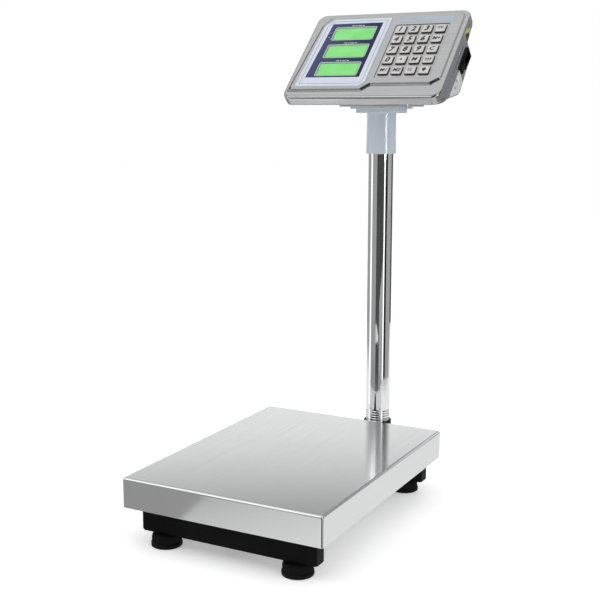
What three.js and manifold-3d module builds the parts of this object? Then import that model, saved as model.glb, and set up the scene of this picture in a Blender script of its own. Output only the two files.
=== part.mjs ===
// Platform scale with a stainless pan, a chromed column and a price-computing head.
//
// Units are millimetres. X points to the operator's right, Y to the back, Z up, and the
// object stands on Z = 0. The platform is laid out about its own centre, and the whole
// group is moved along Y at the end, so that the origin is under the middle of the object.

import * as THREE from 'three';
import { mergeVertices } from 'three/addons/utils/BufferGeometryUtils.js';
import Module from 'manifold-3d';

const wasm = await Module();
wasm.setup();

// ---------------------------------------------------------------- driving dimensions

const GAP = 0.3;                    // clearance kept between pieces that touch
const SHEET = 1.5;                  // stainless sheet of the pan and of the head

const PAN = { width: 300, depth: 400, top: 95, skirt: 41.5, corner: 4, edge: 2.5 };

const BEAM = { length: 260, depth: 20, height: 40, wall: 2, bottom: 18.3 };
const BEAM_Y = { front: -170, rear: 179 };
const BEAM_TOP = BEAM.bottom + BEAM.height;
const SPINE = { width: 50, height: 28, wall: 2, top: 51.3, rearEnd: 330 };
const SPINE_BOTTOM = SPINE.top - SPINE.height;

const FOOT = { x: 100, radius: 21.2, height: 18, studRadius: 4.8, studTop: 46, boreBottom: 5 };
const WELD_NUT = { radius: 9, height: 8 };

const CELL = { length: 130, width: 30, height: 22, bottom: 61 };
const CELL_BOLTS = { near: 42, far: 57, radius: 3, headRadius: 5.2, headHeight: 3.6 };
const FRAME_PLATE = { width: 100, depth: 130, bottom: 84.3, top: 89.3 };
const FRAME_ARM = { width: 20, bottom: 71, innerX: 42, innerY: 48 };
const PAD = { x: 122, y: 168, radius: 12, seatRadius: 15, top: 93.2 };

const COLUMN = { y: 301.9, radius: 19.75, wall: 1.25, top: 575, ringStart: 67.5, ringPitch: 3.2 };
const COLUMN_RINGS = 5;
const COLUMN_FOOT = SPINE_BOTTOM + SPINE.wall + GAP;
const COLLAR = { radius: 22.6, flangeRadius: 24.6, flangeTop: 55, top: 67 };
const CABLE = { radius: 2.5, dropY: 83, spineZ: 37, top: 628, startZ: 72 };

const SLEEVE = { bottom: 507, top: 571, radiusTop: 23.2, radiusBottom: 23.7 };
const SCREW = { z: 530, radius: 2.5, headRadius: 4.8, headHeight: 3 };
const BLOCK = { width: 68, depth: 53, top: 577.5, corner: 4 };
const STEP = { width: 84, depth: 62, top: 580.5 };
const BRACKET = { width: 119, depth: 70, top: 584, sheet: 3, cheekX: 46 };

// The head's own frame: x to the right, y up the sloping face, z out of the face.
// z = 0 is the top of the raised plateau.
const HEAD = { width: 266, height: 195, corner: 16, edge: 4, x: -6, y: 287.2, z: 666.2 };
const HEAD_TILT = THREE.MathUtils.degToRad(44.2);
const PLATEAU_RISE = 4;
const BEZEL_BACK = -20.5;
const SHELL_SEAM = BEZEL_BACK - GAP;
const BACK_LOW = { v: -22, n: -64 };
const BACK_HIGH = { v: 45, n: -55 };
const BELLY_REAR = { v: -34, n: -61 };
const BELLY_FRONT = { v: -72, n: -33 };

const LCD = { x: -51.5, width: 71, height: 29, first: 44, pitch: 41.2, top: -0.9, depth: 8.6 };
const KEYPAD = { x: 62.5, y: 0.3, width: 91, height: 121.5, plateTop: -1, plateSheet: 1.2 };
const KEY = { size: 17, firstX: 29, firstY: 48.5, pitchX: 22.2, pitchY: 23.3, top: 2.2, foot: -6 };
const BOARD = { width: 226, height: 156, top: -10.1, thickness: 1.6 };
const BATTERY = { x: -62, v: 10, width: 96, height: 50, thickness: 20 };
const INLET = { v: 27.5, n: -43, length: 31, height: 19, back: 113, face: 135 };
const SOCKET = { length: 24, height: 15.5, floor: 118 };
const SWITCH = { v: 5, n: -40.7, length: 17, height: 12.4 };
const ROCKER = { radius: 7.4, width: 9, pivotX: 133.4, halfAngle: 25, lean: 8 };

// ---------------------------------------------------------------- finishes

const finish = (color, roughness, metalness) =>
  new THREE.MeshStandardMaterial({ color, roughness, metalness });

const brushedSteel = () => finish(0xc4c6c8, 0.32, 1);
const chromed = () => finish(0xe4e6e8, 0.06, 1);
const blackPaint = () => finish(0x131313, 0.45, 0);
const blackRubber = () => finish(0x0b0b0b, 0.8, 0);
const greyPlastic = () => finish(0xaab2bb, 0.42, 0);
const aluminium = () => finish(0xb9bcbe, 0.4, 1);
const zincSteel = () => finish(0x9fa3a6, 0.35, 1);
const keySteel = () => finish(0xb4b6b7, 0.35, 1);
const displayFilm = () => finish(0xd5dae3, 0.3, 0);
const greenLcd = () => finish(0x84e57a, 0.25, 0);
const circuitBoard = () => finish(0x1d5b3a, 0.6, 0);
const batteryCase = () => finish(0x2b2f36, 0.55, 0);

// ---------------------------------------------------------------- geometry helpers

function toSolid(geometry) {
  const plain = geometry.clone();
  plain.deleteAttribute('normal');
  plain.deleteAttribute('uv');
  const merged = mergeVertices(plain, 1e-4);
  const triVerts = new Uint32Array(merged.index.array);
  const vertProperties = new Float32Array(merged.attributes.position.array);
  return new wasm.Manifold(new wasm.Mesh({ numProp: 3, vertProperties, triVerts }));
}

function toGeometry(solid) {
  const mesh = solid.getMesh();
  const geometry = new THREE.BufferGeometry();
  geometry.setAttribute('position', new THREE.BufferAttribute(mesh.vertProperties, 3));
  geometry.setIndex(new THREE.BufferAttribute(mesh.triVerts, 1));
  geometry.computeVertexNormals();
  return geometry;
}

const join = (first, ...others) =>
  toGeometry(others.reduce((solid, other) => solid.add(toSolid(other)), toSolid(first)));

const cut = (base, ...tools) =>
  toGeometry(tools.reduce((solid, tool) => solid.subtract(toSolid(tool)), toSolid(base)));

const common = (first, second) => toGeometry(toSolid(first).intersect(toSolid(second)));

// A box between two corners.
function box(x0, x1, y0, y1, z0, z1) {
  const geometry = new THREE.BoxGeometry(x1 - x0, y1 - y0, z1 - z0);
  return geometry.translate((x0 + x1) / 2, (y0 + y1) / 2, (z0 + z1) / 2);
}

// A box centred on (x, y), standing from z0 to z1.
const block = (x, y, width, depth, z0, z1) =>
  box(x - width / 2, x + width / 2, y - depth / 2, y + depth / 2, z0, z1);

// An upright cylinder.
function post(x, y, radius, z0, z1, sides = 24) {
  const geometry = new THREE.CylinderGeometry(radius, radius, z1 - z0, sides);
  return geometry.rotateX(Math.PI / 2).translate(x, y, (z0 + z1) / 2);
}

// A cylinder lying along X.
function rod(y, z, radius, x0, x1, sides = 24) {
  const geometry = new THREE.CylinderGeometry(radius, radius, x1 - x0, sides);
  return geometry.rotateZ(Math.PI / 2).translate((x0 + x1) / 2, y, z);
}

function roundedRectangle(width, height, radius) {
  const x = width / 2;
  const y = height / 2;
  const shape = new THREE.Shape();
  shape.moveTo(x - radius, -y);
  shape.absarc(x - radius, -y + radius, radius, -Math.PI / 2, 0);
  shape.absarc(x - radius, y - radius, radius, 0, Math.PI / 2);
  shape.absarc(-x + radius, y - radius, radius, Math.PI / 2, Math.PI);
  shape.absarc(-x + radius, -y + radius, radius, Math.PI, Math.PI * 1.5);
  return shape;
}

const polygon = (points) => new THREE.Shape(points.map(([x, y]) => new THREE.Vector2(x, y)));

// An anticlockwise polygon, drawn in by the same distance all round.
function insetPolygon(points, distance) {
  return points.map((point, k) => {
    const here = new THREE.Vector2(...point);
    const before = new THREE.Vector2(...points.at(k - 1));
    const after = new THREE.Vector2(...points[(k + 1) % points.length]);
    const into = here.clone().sub(before).normalize();
    const away = after.sub(here).normalize();
    const scale = distance / (1 + into.dot(away));
    return [here.x - (into.y + away.y) * scale, here.y + (into.x + away.x) * scale];
  });
}

// A straight prism of a shape, standing from z0 to z1.
const prism = (shape, z0, z1, curveSegments = 4) =>
  new THREE.ExtrudeGeometry(shape, { depth: z1 - z0, bevelEnabled: false, curveSegments })
    .translate(0, 0, z0);

// A rounded slab, whose upper rim has the given edge radius. Its lower rim is square.
function roundedSlab(width, depth, corner, edge, z0, z1, segments = 3) {
  const shape = roundedRectangle(width - 2 * edge, depth - 2 * edge, corner - edge);
  const raw = new THREE.ExtrudeGeometry(shape, {
    depth: z1 - z0,
    bevelThickness: edge,
    bevelSize: edge,
    bevelSegments: segments,
    curveSegments: segments + 1,
  }).translate(0, 0, z0 - edge);
  return cut(raw, box(-width, width, -depth, depth, z0 - 2 * edge - 1, z0));
}

// A (y, z) outline, extruded along X.
function profileAlongX(points, x0, x1) {
  const geometry = new THREE.ExtrudeGeometry(polygon(points), { depth: x1 - x0, bevelEnabled: false });
  const yzx = new THREE.Matrix4().makeBasis(
    new THREE.Vector3(0, 1, 0),
    new THREE.Vector3(0, 0, 1),
    new THREE.Vector3(1, 0, 0),
  );
  return geometry.applyMatrix4(yzx).translate(x0, 0, 0);
}

// A closed (radius, z) outline, turned about an upright axis.
function turned(points, segments, x = 0, y = 0) {
  const outline = points.map(([radius, z]) => new THREE.Vector2(radius, z));
  return new THREE.LatheGeometry(outline, segments).rotateX(Math.PI / 2).translate(x, y, 0);
}

// A screw along Z: a hexagonal head from headZ towards headEnd, and a round shank to tipZ.
const hexBolt = (x, y, headZ, headEnd, tipZ) => join(
  post(x, y, CELL_BOLTS.headRadius, Math.min(headZ, headEnd), Math.max(headZ, headEnd), 6),
  post(x, y, CELL_BOLTS.radius, Math.min(headEnd, tipZ), Math.max(headEnd, tipZ), 12),
);

function place(parent, name, geometry, material) {
  const mesh = new THREE.Mesh(geometry, material);
  mesh.name = name;
  parent.add(mesh);
  return mesh;
}

// ---------------------------------------------------------------- base frame and feet

const footPlaces = [
  { name: 'front_left', x: -FOOT.x, y: BEAM_Y.front },
  { name: 'front_right', x: FOOT.x, y: BEAM_Y.front },
  { name: 'rear_left', x: -FOOT.x, y: BEAM_Y.rear },
  { name: 'rear_right', x: FOOT.x, y: BEAM_Y.rear },
];

// A rectangular tube across the base, with a weld nut inside over each foot.
function crossbeam(y) {
  const half = { x: BEAM.length / 2, y: BEAM.depth / 2 };
  const floor = BEAM.bottom + BEAM.wall;
  const tube = cut(
    box(-half.x, half.x, y - half.y, y + half.y, BEAM.bottom, BEAM_TOP),
    box(-half.x - 1, half.x + 1, y - half.y + BEAM.wall, y + half.y - BEAM.wall,
      floor, BEAM_TOP - BEAM.wall),
  );
  const nuts = [-FOOT.x, FOOT.x].map((x) =>
    post(x, y, WELD_NUT.radius, floor - 1, floor + WELD_NUT.height, 6));
  const bores = [-FOOT.x, FOOT.x].map((x) =>
    post(x, y, FOOT.studRadius + GAP, BEAM.bottom - 1, floor + WELD_NUT.height + 1, 16));
  return cut(join(tube, ...nuts), ...bores);
}

// The rear beam is notched from above, and the spine lies in the notch.
const rearCrossbeam = () => cut(
  crossbeam(BEAM_Y.rear),
  box(-SPINE.width / 2 - GAP, SPINE.width / 2 + GAP, BEAM_Y.rear - BEAM.depth,
    BEAM_Y.rear + BEAM.depth, SPINE_BOTTOM - GAP, BEAM_TOP + 1),
);

// The spine carries the load cell on a boss, and the column stands in its rear end.
function baseSpine() {
  const frontEnd = BEAM_Y.front + BEAM.depth / 2 + GAP;
  const half = SPINE.width / 2;
  const inner = half - SPINE.wall;
  const tube = cut(
    box(-half, half, frontEnd, SPINE.rearEnd, SPINE_BOTTOM, SPINE.top),
    box(-inner, inner, frontEnd - 1, SPINE.rearEnd + 1,
      SPINE_BOTTOM + SPINE.wall, SPINE.top - SPINE.wall),
  );
  const boss = block(0, (CELL_BOLTS.near + CELL_BOLTS.far) / 2, CELL.width, 32,
    SPINE.top - 1, CELL.bottom - GAP);
  const boltHoles = [CELL_BOLTS.near, CELL_BOLTS.far].map((y) =>
    post(0, y, CELL_BOLTS.radius + GAP, SPINE.top - SPINE.wall - 1, CELL.bottom, 12));
  const columnHole = post(0, COLUMN.y, COLUMN.radius + GAP, SPINE.top - SPINE.wall - 1,
    SPINE.top + 1, 40);
  const cableHole = post(0, CABLE.dropY, CABLE.radius + 1.5, SPINE.top - SPINE.wall - 1,
    SPINE.top + 1, 16);
  return cut(join(tube, boss), ...boltHoles, columnHole, cableHole);
}

// A rubber foot with a pressed rim and a blind bore for its threaded stud.
const footPad = (x, y) => turned([
  [0, 0],
  [FOOT.radius - 1, 0],
  [FOOT.radius, 1.5],
  [FOOT.radius, 5],
  [FOOT.radius - 1.2, 6.5],
  [FOOT.radius - 1.2, 15],
  [FOOT.radius - 3, FOOT.height],
  [FOOT.studRadius + GAP, FOOT.height],
  [FOOT.studRadius + GAP, FOOT.boreBottom],
  [0, FOOT.boreBottom],
], 20, x, y);

const footStud = (x, y) => turned([
  [0, FOOT.boreBottom + GAP],
  [FOOT.studRadius, FOOT.boreBottom + GAP],
  [FOOT.studRadius, FOOT.studTop - 1],
  [FOOT.studRadius - 1, FOOT.studTop],
  [0, FOOT.studTop],
], 12, x, y);

// ---------------------------------------------------------------- weighing platform

// A bending beam cell: two bores joined by a slot leave the thin flexures.
function loadCell() {
  const top = CELL.bottom + CELL.height;
  const middle = CELL.bottom + CELL.height / 2;
  const half = CELL.width / 2 + 1;
  const bar = block(0, 0, CELL.width, CELL.length, CELL.bottom, top);
  const bores = [-14, 14].map((y) => rod(y, middle, 8, -half, half, 20));
  const slot = box(-half, half, -14, 14, middle - 3, middle + 3);
  const lowHoles = [CELL_BOLTS.near, CELL_BOLTS.far].map((y) =>
    post(0, y, CELL_BOLTS.radius + GAP, CELL.bottom - 1, CELL.bottom + 15, 12));
  const highHoles = [-CELL_BOLTS.near, -CELL_BOLTS.far].map((y) =>
    post(0, y, CELL_BOLTS.radius + GAP, top - 15, top + 1, 12));
  return cut(bar, ...bores, slot, ...lowHoles, ...highHoles);
}

// The top frame: a plate bolted on the cell, with four arms out to the pan's pads.
function topFrame() {
  const plate = block(0, 0, FRAME_PLATE.width, FRAME_PLATE.depth, FRAME_PLATE.bottom,
    FRAME_PLATE.top);
  const boss = block(0, -(CELL_BOLTS.near + CELL_BOLTS.far) / 2, CELL.width, 32,
    CELL.bottom + CELL.height + GAP, FRAME_PLATE.bottom + 1);
  const arms = [];
  for (const sx of [-1, 1]) {
    for (const sy of [-1, 1]) {
      const run = { x: PAD.x - FRAME_ARM.innerX, y: PAD.y - FRAME_ARM.innerY };
      const length = Math.hypot(run.x, run.y);
      const arm = box(0, length, -FRAME_ARM.width / 2, FRAME_ARM.width / 2, FRAME_ARM.bottom,
        FRAME_PLATE.top);
      arm.rotateZ(Math.atan2(sy * run.y, sx * run.x));
      arm.translate(sx * FRAME_ARM.innerX, sy * FRAME_ARM.innerY, 0);
      const seat = post(sx * PAD.x, sy * PAD.y, PAD.seatRadius, FRAME_ARM.bottom,
        FRAME_PLATE.top);
      arms.push(arm, seat);
    }
  }
  const boltHoles = [-CELL_BOLTS.near, -CELL_BOLTS.far].map((y) =>
    post(0, y, CELL_BOLTS.radius + GAP, CELL.bottom + CELL.height, FRAME_PLATE.top + 1, 12));
  return cut(join(plate, boss, ...arms), ...boltHoles);
}

// The pan: a folded stainless tray, turned upside down over the frame.
function panCover() {
  const bottom = PAN.top - PAN.skirt;
  const outer = roundedSlab(PAN.width, PAN.depth, PAN.corner, PAN.edge, bottom, PAN.top);
  const inner = roundedSlab(PAN.width - 2 * SHEET, PAN.depth - 2 * SHEET, PAN.corner - 0.5,
    PAN.edge - 1, bottom - 2, PAN.top - SHEET, 2);
  return cut(outer, inner);
}

// ---------------------------------------------------------------- column and its cable

// The rolled rings stand at the foot of the tube, and a slot lets the cable in.
function columnTube() {
  const inner = COLUMN.radius - COLUMN.wall;
  const outline = [
    [inner, COLUMN_FOOT],
    [COLUMN.radius, COLUMN_FOOT],
  ];
  for (let ring = 0; ring < COLUMN_RINGS; ring += 1) {
    const z = COLUMN.ringStart + ring * COLUMN.ringPitch;
    outline.push([COLUMN.radius, z]);
    outline.push([COLUMN.radius - 0.7, z + COLUMN.ringPitch / 2]);
  }
  outline.push([COLUMN.radius, COLUMN.ringStart + COLUMN_RINGS * COLUMN.ringPitch]);
  outline.push([COLUMN.radius, COLUMN.top]);
  outline.push([inner, COLUMN.top]);
  outline.push([inner, COLUMN_FOOT]);
  const tube = turned(outline, 32, 0, COLUMN.y);
  const slot = box(-5, 5, COLUMN.y - COLUMN.radius - 1, COLUMN.y - 12, COLUMN_FOOT - 1, 46);
  return cut(tube, slot);
}

const columnCollar = () => turned([
  [COLUMN.radius + GAP, SPINE.top + GAP],
  [COLLAR.flangeRadius, SPINE.top + GAP],
  [COLLAR.flangeRadius, COLLAR.flangeTop],
  [COLLAR.radius, COLLAR.flangeTop + 1],
  [COLLAR.radius, COLLAR.top - 0.8],
  [COLLAR.radius - 0.8, COLLAR.top],
  [COLUMN.radius + GAP, COLLAR.top],
  [COLUMN.radius + GAP, SPINE.top + GAP],
], 32, 0, COLUMN.y);

// The cell's cable: down into the spine, back along it, and up the middle of the column.
function loadCellCable() {
  const cellEnd = CELL.length / 2 + GAP;
  const route = new THREE.CatmullRomCurve3([
    new THREE.Vector3(0, cellEnd, CABLE.startZ),
    new THREE.Vector3(0, cellEnd + 5, CABLE.startZ),
    new THREE.Vector3(0, CABLE.dropY, CABLE.startZ - 11),
    new THREE.Vector3(0, CABLE.dropY, SPINE.top),
    new THREE.Vector3(0, CABLE.dropY + 1.5, SPINE.top - 6),
    new THREE.Vector3(0, CABLE.dropY + 14, CABLE.spineZ),
    new THREE.Vector3(0, CABLE.dropY + 40, CABLE.spineZ),
    new THREE.Vector3(0, COLUMN.y - 60, CABLE.spineZ),
    new THREE.Vector3(0, COLUMN.y - 22, CABLE.spineZ),
    new THREE.Vector3(0, COLUMN.y - 6, CABLE.spineZ + 6),
    new THREE.Vector3(0, COLUMN.y, CABLE.spineZ + 30),
    new THREE.Vector3(0, COLUMN.y, 200),
    new THREE.Vector3(0, COLUMN.y, 400),
    new THREE.Vector3(0, COLUMN.y, CABLE.top),
  ], false, 'centripetal');
  const section = new THREE.Shape();
  section.absarc(0, 0, CABLE.radius, 0, Math.PI * 2);
  return new THREE.ExtrudeGeometry(section, {
    steps: 72,
    curveSegments: 4,
    bevelEnabled: false,
    extrudePath: route,
  });
}

// ---------------------------------------------------------------- swivel and head bracket

// A point of the head's middle plane: v up the face, n out of it, as a (y, z) pair.
function headPoint(v, n) {
  const c = Math.cos(HEAD_TILT);
  const s = Math.sin(HEAD_TILT);
  return [HEAD.y + v * c - n * s, HEAD.z + v * s + n * c];
}

// The rear shell's back plane: its n at a place v up the face.
const backPlane = (v) =>
  BACK_LOW.n + ((v - BACK_LOW.v) * (BACK_HIGH.n - BACK_LOW.n)) / (BACK_HIGH.v - BACK_LOW.v);

// The moulded swivel: a sleeve over the column under a stepped flange.
function swivelSleeve() {
  const body = turned([
    [0, SLEEVE.bottom],
    [SLEEVE.radiusBottom, SLEEVE.bottom],
    [SLEEVE.radiusTop, SLEEVE.top + 1],
    [0, SLEEVE.top + 1],
  ], 36, 0, COLUMN.y);
  const flange = prism(roundedRectangle(BLOCK.width, BLOCK.depth, BLOCK.corner), SLEEVE.top,
    BLOCK.top).translate(0, COLUMN.y, 0);
  const step = prism(roundedRectangle(STEP.width, STEP.depth, BLOCK.corner), BLOCK.top - 1,
    STEP.top).translate(0, COLUMN.y, 0);
  const bore = post(0, COLUMN.y, COLUMN.radius + GAP, SLEEVE.bottom - 1, COLUMN.top + GAP, 36);
  const cableHole = post(0, COLUMN.y, 8, SLEEVE.bottom, STEP.top + 1);
  const screwHole = post(0, 0, SCREW.radius + GAP, COLUMN.radius - 1, 30, 12)
    .rotateX(-Math.PI / 2).translate(0, COLUMN.y, SCREW.z);
  return cut(join(body, flange, step), bore, cableHole, screwHole);
}

// The screw at the back of the sleeve, which sets the drag of the swivel.
const sleeveScrew = () => join(
  post(0, 0, SCREW.radius, COLUMN.radius + GAP, SLEEVE.radiusBottom + 1, 12),
  post(0, 0, SCREW.headRadius, SLEEVE.radiusBottom + GAP,
    SLEEVE.radiusBottom + GAP + SCREW.headHeight, 20),
).rotateX(-Math.PI / 2).translate(0, COLUMN.y, SCREW.z);

// A point under the rear shell's belly: along is 0 at its front fold and 1 at its rear fold,
// and out is the distance outside the sheet.
function bellyPoint(along, out) {
  const run = { v: BELLY_REAR.v - BELLY_FRONT.v, n: BELLY_REAR.n - BELLY_FRONT.n };
  const length = Math.hypot(run.v, run.n);
  return headPoint(
    BELLY_FRONT.v + along * run.v + (out * run.n) / length,
    BELLY_FRONT.n + along * run.n - (out * run.v) / length);
}

// The welded bracket: a plate on the swivel, two cheeks, and a flange under the shell's belly.
function headBracket() {
  const base = STEP.top + GAP;
  const plate = prism(roundedRectangle(BRACKET.width, BRACKET.depth, 4), base, BRACKET.top)
    .translate(0, COLUMN.y, 0);
  const flange = profileAlongX([
    bellyPoint(0.95, 0.4),
    bellyPoint(0.05, 0.4),
    bellyPoint(0.05, 0.4 + BRACKET.sheet),
    bellyPoint(0.95, 0.4 + BRACKET.sheet),
  ], -BRACKET.width / 2, BRACKET.width / 2);
  const cheekOutline = [
    [COLUMN.y - BRACKET.depth / 2 + 5, base + 1],
    [COLUMN.y + 10, base + 1],
    bellyPoint(0.93, 1.5),
    bellyPoint(0.07, 1.5),
  ];
  const cheeks = [-1, 1].map((side) => profileAlongX(cheekOutline,
    side * BRACKET.cheekX - BRACKET.sheet / 2, side * BRACKET.cheekX + BRACKET.sheet / 2));
  const cableHole = post(0, COLUMN.y, 8, base - 1, 640);
  return cut(join(plate, flange, ...cheeks), cableHole);
}

// ---------------------------------------------------------------- head housing

// The raised plateau: its display half reaches lower than its keypad half.
const plateauOutline = (inset) => polygon([
  [-109 + inset, 86 - inset * 2],
  [-117 + inset, 68 - inset * 0.5],
  [-125 + inset, -84 + inset],
  [2 - inset * 0.4, -84 + inset],
  [15 - inset * 0.4, -72 + inset],
  [113 - inset * 0.4, -72 + inset],
  [127 - inset, -60 + inset * 0.4],
  [127 - inset, 84 - inset],
  [121 - inset, 89 - inset],
  [-103 + inset, 89 - inset],
]);

// The film-covered window panel of the displays, cut off at two corners.
const panelOutline = (grow) => polygon([
  [-96 - grow, 79 + grow],
  [-110 - grow, 65 + grow],
  [-114 - grow, -77 - grow],
  [-3 + grow * 0.4, -77 - grow],
  [5 + grow, -68 - grow * 0.4],
  [5 + grow, 79 + grow],
]);

const lcdY = (index) => LCD.first - index * LCD.pitch;

const shiftedRectangle = (x, y, width, height, radius) => roundedRectangle(width, height, radius)
  .getPoints(3).map((point) => [point.x + x, point.y + y]);

// The stainless front: a deep-drawn bezel with the plateau pressed into its face.
function frontShell() {
  const face = -PLATEAU_RISE;
  const bezel = roundedSlab(HEAD.width, HEAD.height, HEAD.corner, HEAD.edge, BEZEL_BACK, face);
  const plateau = new THREE.ExtrudeGeometry(plateauOutline(PLATEAU_RISE), {
    depth: 1,
    bevelThickness: PLATEAU_RISE,
    bevelSize: PLATEAU_RISE - 0.5,
    bevelSegments: 1,
  }).translate(0, 0, -1 - PLATEAU_RISE);
  const foot = box(-HEAD.width, HEAD.width, -HEAD.height, HEAD.height, -20, face - 1);
  const hollow = prism(
    roundedRectangle(HEAD.width - 2 * SHEET, HEAD.height - 2 * SHEET, HEAD.corner - SHEET),
    BEZEL_BACK - 1, face - SHEET);
  const plateauHollow = prism(plateauOutline(PLATEAU_RISE + 2), face - SHEET - 1, -SHEET);
  const window = prism(panelOutline(GAP), -SHEET - 2, 2);
  const keypad = prism(polygon(shiftedRectangle(KEYPAD.x, KEYPAD.y, KEYPAD.width,
    KEYPAD.height, 3)), -SHEET - 2, 2);
  return cut(join(bezel, cut(plateau, foot)), hollow, plateauHollow, window, keypad);
}

// The rear shell's side outline as (v, n) pairs, anticlockwise from its lower front edge.
const REAR_SIDE = [
  [-HEAD.height / 2 + 1, SHELL_SEAM],
  [-HEAD.height / 2 + 1, SHELL_SEAM - 1],
  [BELLY_FRONT.v, BELLY_FRONT.n],
  [BELLY_REAR.v, BELLY_REAR.n],
  [BACK_LOW.v, BACK_LOW.n],
  [BACK_HIGH.v, BACK_HIGH.n],
  [50, -29.5],
  [HEAD.height / 2 - 3, SHELL_SEAM - 2],
  [HEAD.height / 2 - 1, SHELL_SEAM],
];

// The same outline drawn in by the wall, and open at the front.
function rearOutline(wall) {
  const drawnIn = insetPolygon(REAR_SIDE, wall);
  const open = SHELL_SEAM + 2 * wall;
  return [[drawnIn[0][0], open], ...drawnIn.slice(1, -1), [drawnIn.at(-1)[0], open]];
}

// The rear shell: shallow at the top, with a deep hump below for battery and mains parts.
function rearShell() {
  const tray = (wall) => {
    const side = profileAlongX(rearOutline(wall), -HEAD.width / 2 + 1 + wall,
      HEAD.width / 2 - 1 - wall);
    const plan = prism(roundedRectangle(HEAD.width - 2 - 2 * wall, HEAD.height - 2 - 2 * wall,
      HEAD.corner - 1 - wall), BACK_LOW.n - 5, 0);
    return common(side, plan);
  };
  const mainsHoles = [INLET, SWITCH].map(({ v, n, length, height }) =>
    block(HEAD.width / 2, v, 20, length + 2 * GAP, n - height / 2 - GAP, n + height / 2 + GAP));
  const cableHole = post(0, COLUMN.y, 6, 590, 640, 20)
    .translate(-HEAD.x, -HEAD.y, -HEAD.z).rotateX(-HEAD_TILT);
  return cut(tray(0), tray(SHEET), ...mainsHoles, cableHole);
}

function displayPanel() {
  const openings = [0, 1, 2].map((index) => prism(polygon(shiftedRectangle(
    LCD.x, lcdY(index), LCD.width, LCD.height, 1)), -3, 3));
  return cut(prism(panelOutline(0), -SHEET, 0.1), ...openings);
}

const lcdModule = (index) => block(LCD.x, lcdY(index), LCD.width - 2 * GAP,
  LCD.height - 2 * GAP, LCD.top - LCD.depth, LCD.top);

// ---------------------------------------------------------------- keypad

const keyNames = [
  ['key_1', 'key_2', 'key_3', 'key_tare'],
  ['key_4', 'key_5', 'key_6', 'key_add'],
  ['key_7', 'key_8', 'key_9', 'key_clear'],
  ['key_0', 'key_point', 'key_memory', 'key_zero'],
  ['key_preset_1', 'key_preset_2', 'key_total', 'key_light'],
];

const keyPlace = (row, column) => ({
  x: KEY.firstX + column * KEY.pitchX,
  y: KEY.firstY - row * KEY.pitchY,
});

function keypadPlate() {
  const plate = prism(roundedRectangle(KEYPAD.width - 2 * GAP, KEYPAD.height - 2 * GAP, 2.7),
    KEYPAD.plateTop - KEYPAD.plateSheet, KEYPAD.plateTop).translate(KEYPAD.x, KEYPAD.y, 0);
  const holes = keyNames.flatMap((names, row) => names.map((name, column) => {
    const { x, y } = keyPlace(row, column);
    return block(x, y, KEY.size + 2 * GAP, KEY.size + 2 * GAP, -4, 4);
  }));
  return cut(plate, ...holes);
}

// A key cap with a sloping rim; its stem reaches down towards the contact board.
function keyCap() {
  const rim = 1.3;
  const cap = new THREE.ExtrudeGeometry(
    roundedRectangle(KEY.size - 2 * rim, KEY.size - 2 * rim, 0.8), {
      depth: 0.4,
      bevelThickness: rim,
      bevelSize: rim,
      bevelSegments: 1,
      curveSegments: 2,
    }).translate(0, 0, KEY.top - rim - 0.4);
  const lowerRim = KEY.top - 2 * rim;
  const skirt = prism(roundedRectangle(KEY.size, KEY.size, 0.8 + rim), lowerRim - 2,
    KEY.top - rim, 2);
  const stem = block(0, 0, 6, 6, KEY.foot, lowerRim - 1);
  return join(cap, skirt, stem);
}

// ---------------------------------------------------------------- electronics and mains

// The inlet module: a plug socket with three pins, and below it a well for the rocker.
function powerInlet() {
  const [socketBody, switchBody] = [INLET, SWITCH].map(({ v, n, length, height }) =>
    box(INLET.back, INLET.face, v - length / 2, v + length / 2, n - height / 2, n + height / 2));
  const socket = box(SOCKET.floor, INLET.face + 1, INLET.v - SOCKET.length / 2,
    INLET.v + SOCKET.length / 2, INLET.n - SOCKET.height / 2, INLET.n + SOCKET.height / 2);
  const wellHalf = ROCKER.radius + 0.4;
  const well = box(ROCKER.pivotX - 6.2, INLET.face + 1, SWITCH.v - wellHalf,
    SWITCH.v + wellHalf, SWITCH.n - ROCKER.width / 2 - GAP, SWITCH.n + ROCKER.width / 2 + GAP);
  const pins = [[-7, -3], [0, 3], [7, -3]].map(([dv, dn]) =>
    box(SOCKET.floor - 1, SOCKET.floor + 11, INLET.v + dv - 1, INLET.v + dv + 1,
      INLET.n + dn - 2, INLET.n + dn + 2));
  return join(cut(join(socketBody, switchBody), socket, well), ...pins);
}

// The rocker: its ends are arcs about the pivot, and its top is a shallow vee.
function powerRocker() {
  const outline = [];
  for (const start of [-ROCKER.halfAngle, 180 - ROCKER.halfAngle]) {
    for (let step = 0; step <= 4; step += 1) {
      const angle = THREE.MathUtils.degToRad(start + (step * ROCKER.halfAngle) / 2);
      outline.push([ROCKER.radius * Math.cos(angle), ROCKER.radius * Math.sin(angle)]);
    }
    if (start < 0) {
      outline.push([0, 1.8]);
    }
  }
  const raw = new THREE.ExtrudeGeometry(polygon(outline), {
    depth: ROCKER.width,
    bevelEnabled: false,
  });
  const towardsWall = new THREE.Matrix4().makeBasis(
    new THREE.Vector3(0, 1, 0),
    new THREE.Vector3(1, 0, 0),
    new THREE.Vector3(0, 0, -1),
  );
  return raw.translate(0, 0, -ROCKER.width / 2)
    .rotateZ(THREE.MathUtils.degToRad(ROCKER.lean))
    .applyMatrix4(towardsWall)
    .translate(ROCKER.pivotX, SWITCH.v, SWITCH.n);
}

// A flat accumulator pack, lying along the shell's sloping back.
function batteryPack() {
  const slope = Math.atan2(BACK_HIGH.n - BACK_LOW.n, BACK_HIGH.v - BACK_LOW.v);
  return new THREE.BoxGeometry(BATTERY.width, BATTERY.height, BATTERY.thickness)
    .rotateX(slope)
    .translate(BATTERY.x, BATTERY.v, backPlane(BATTERY.v) + SHEET + BATTERY.thickness / 2 + 1);
}

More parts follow.
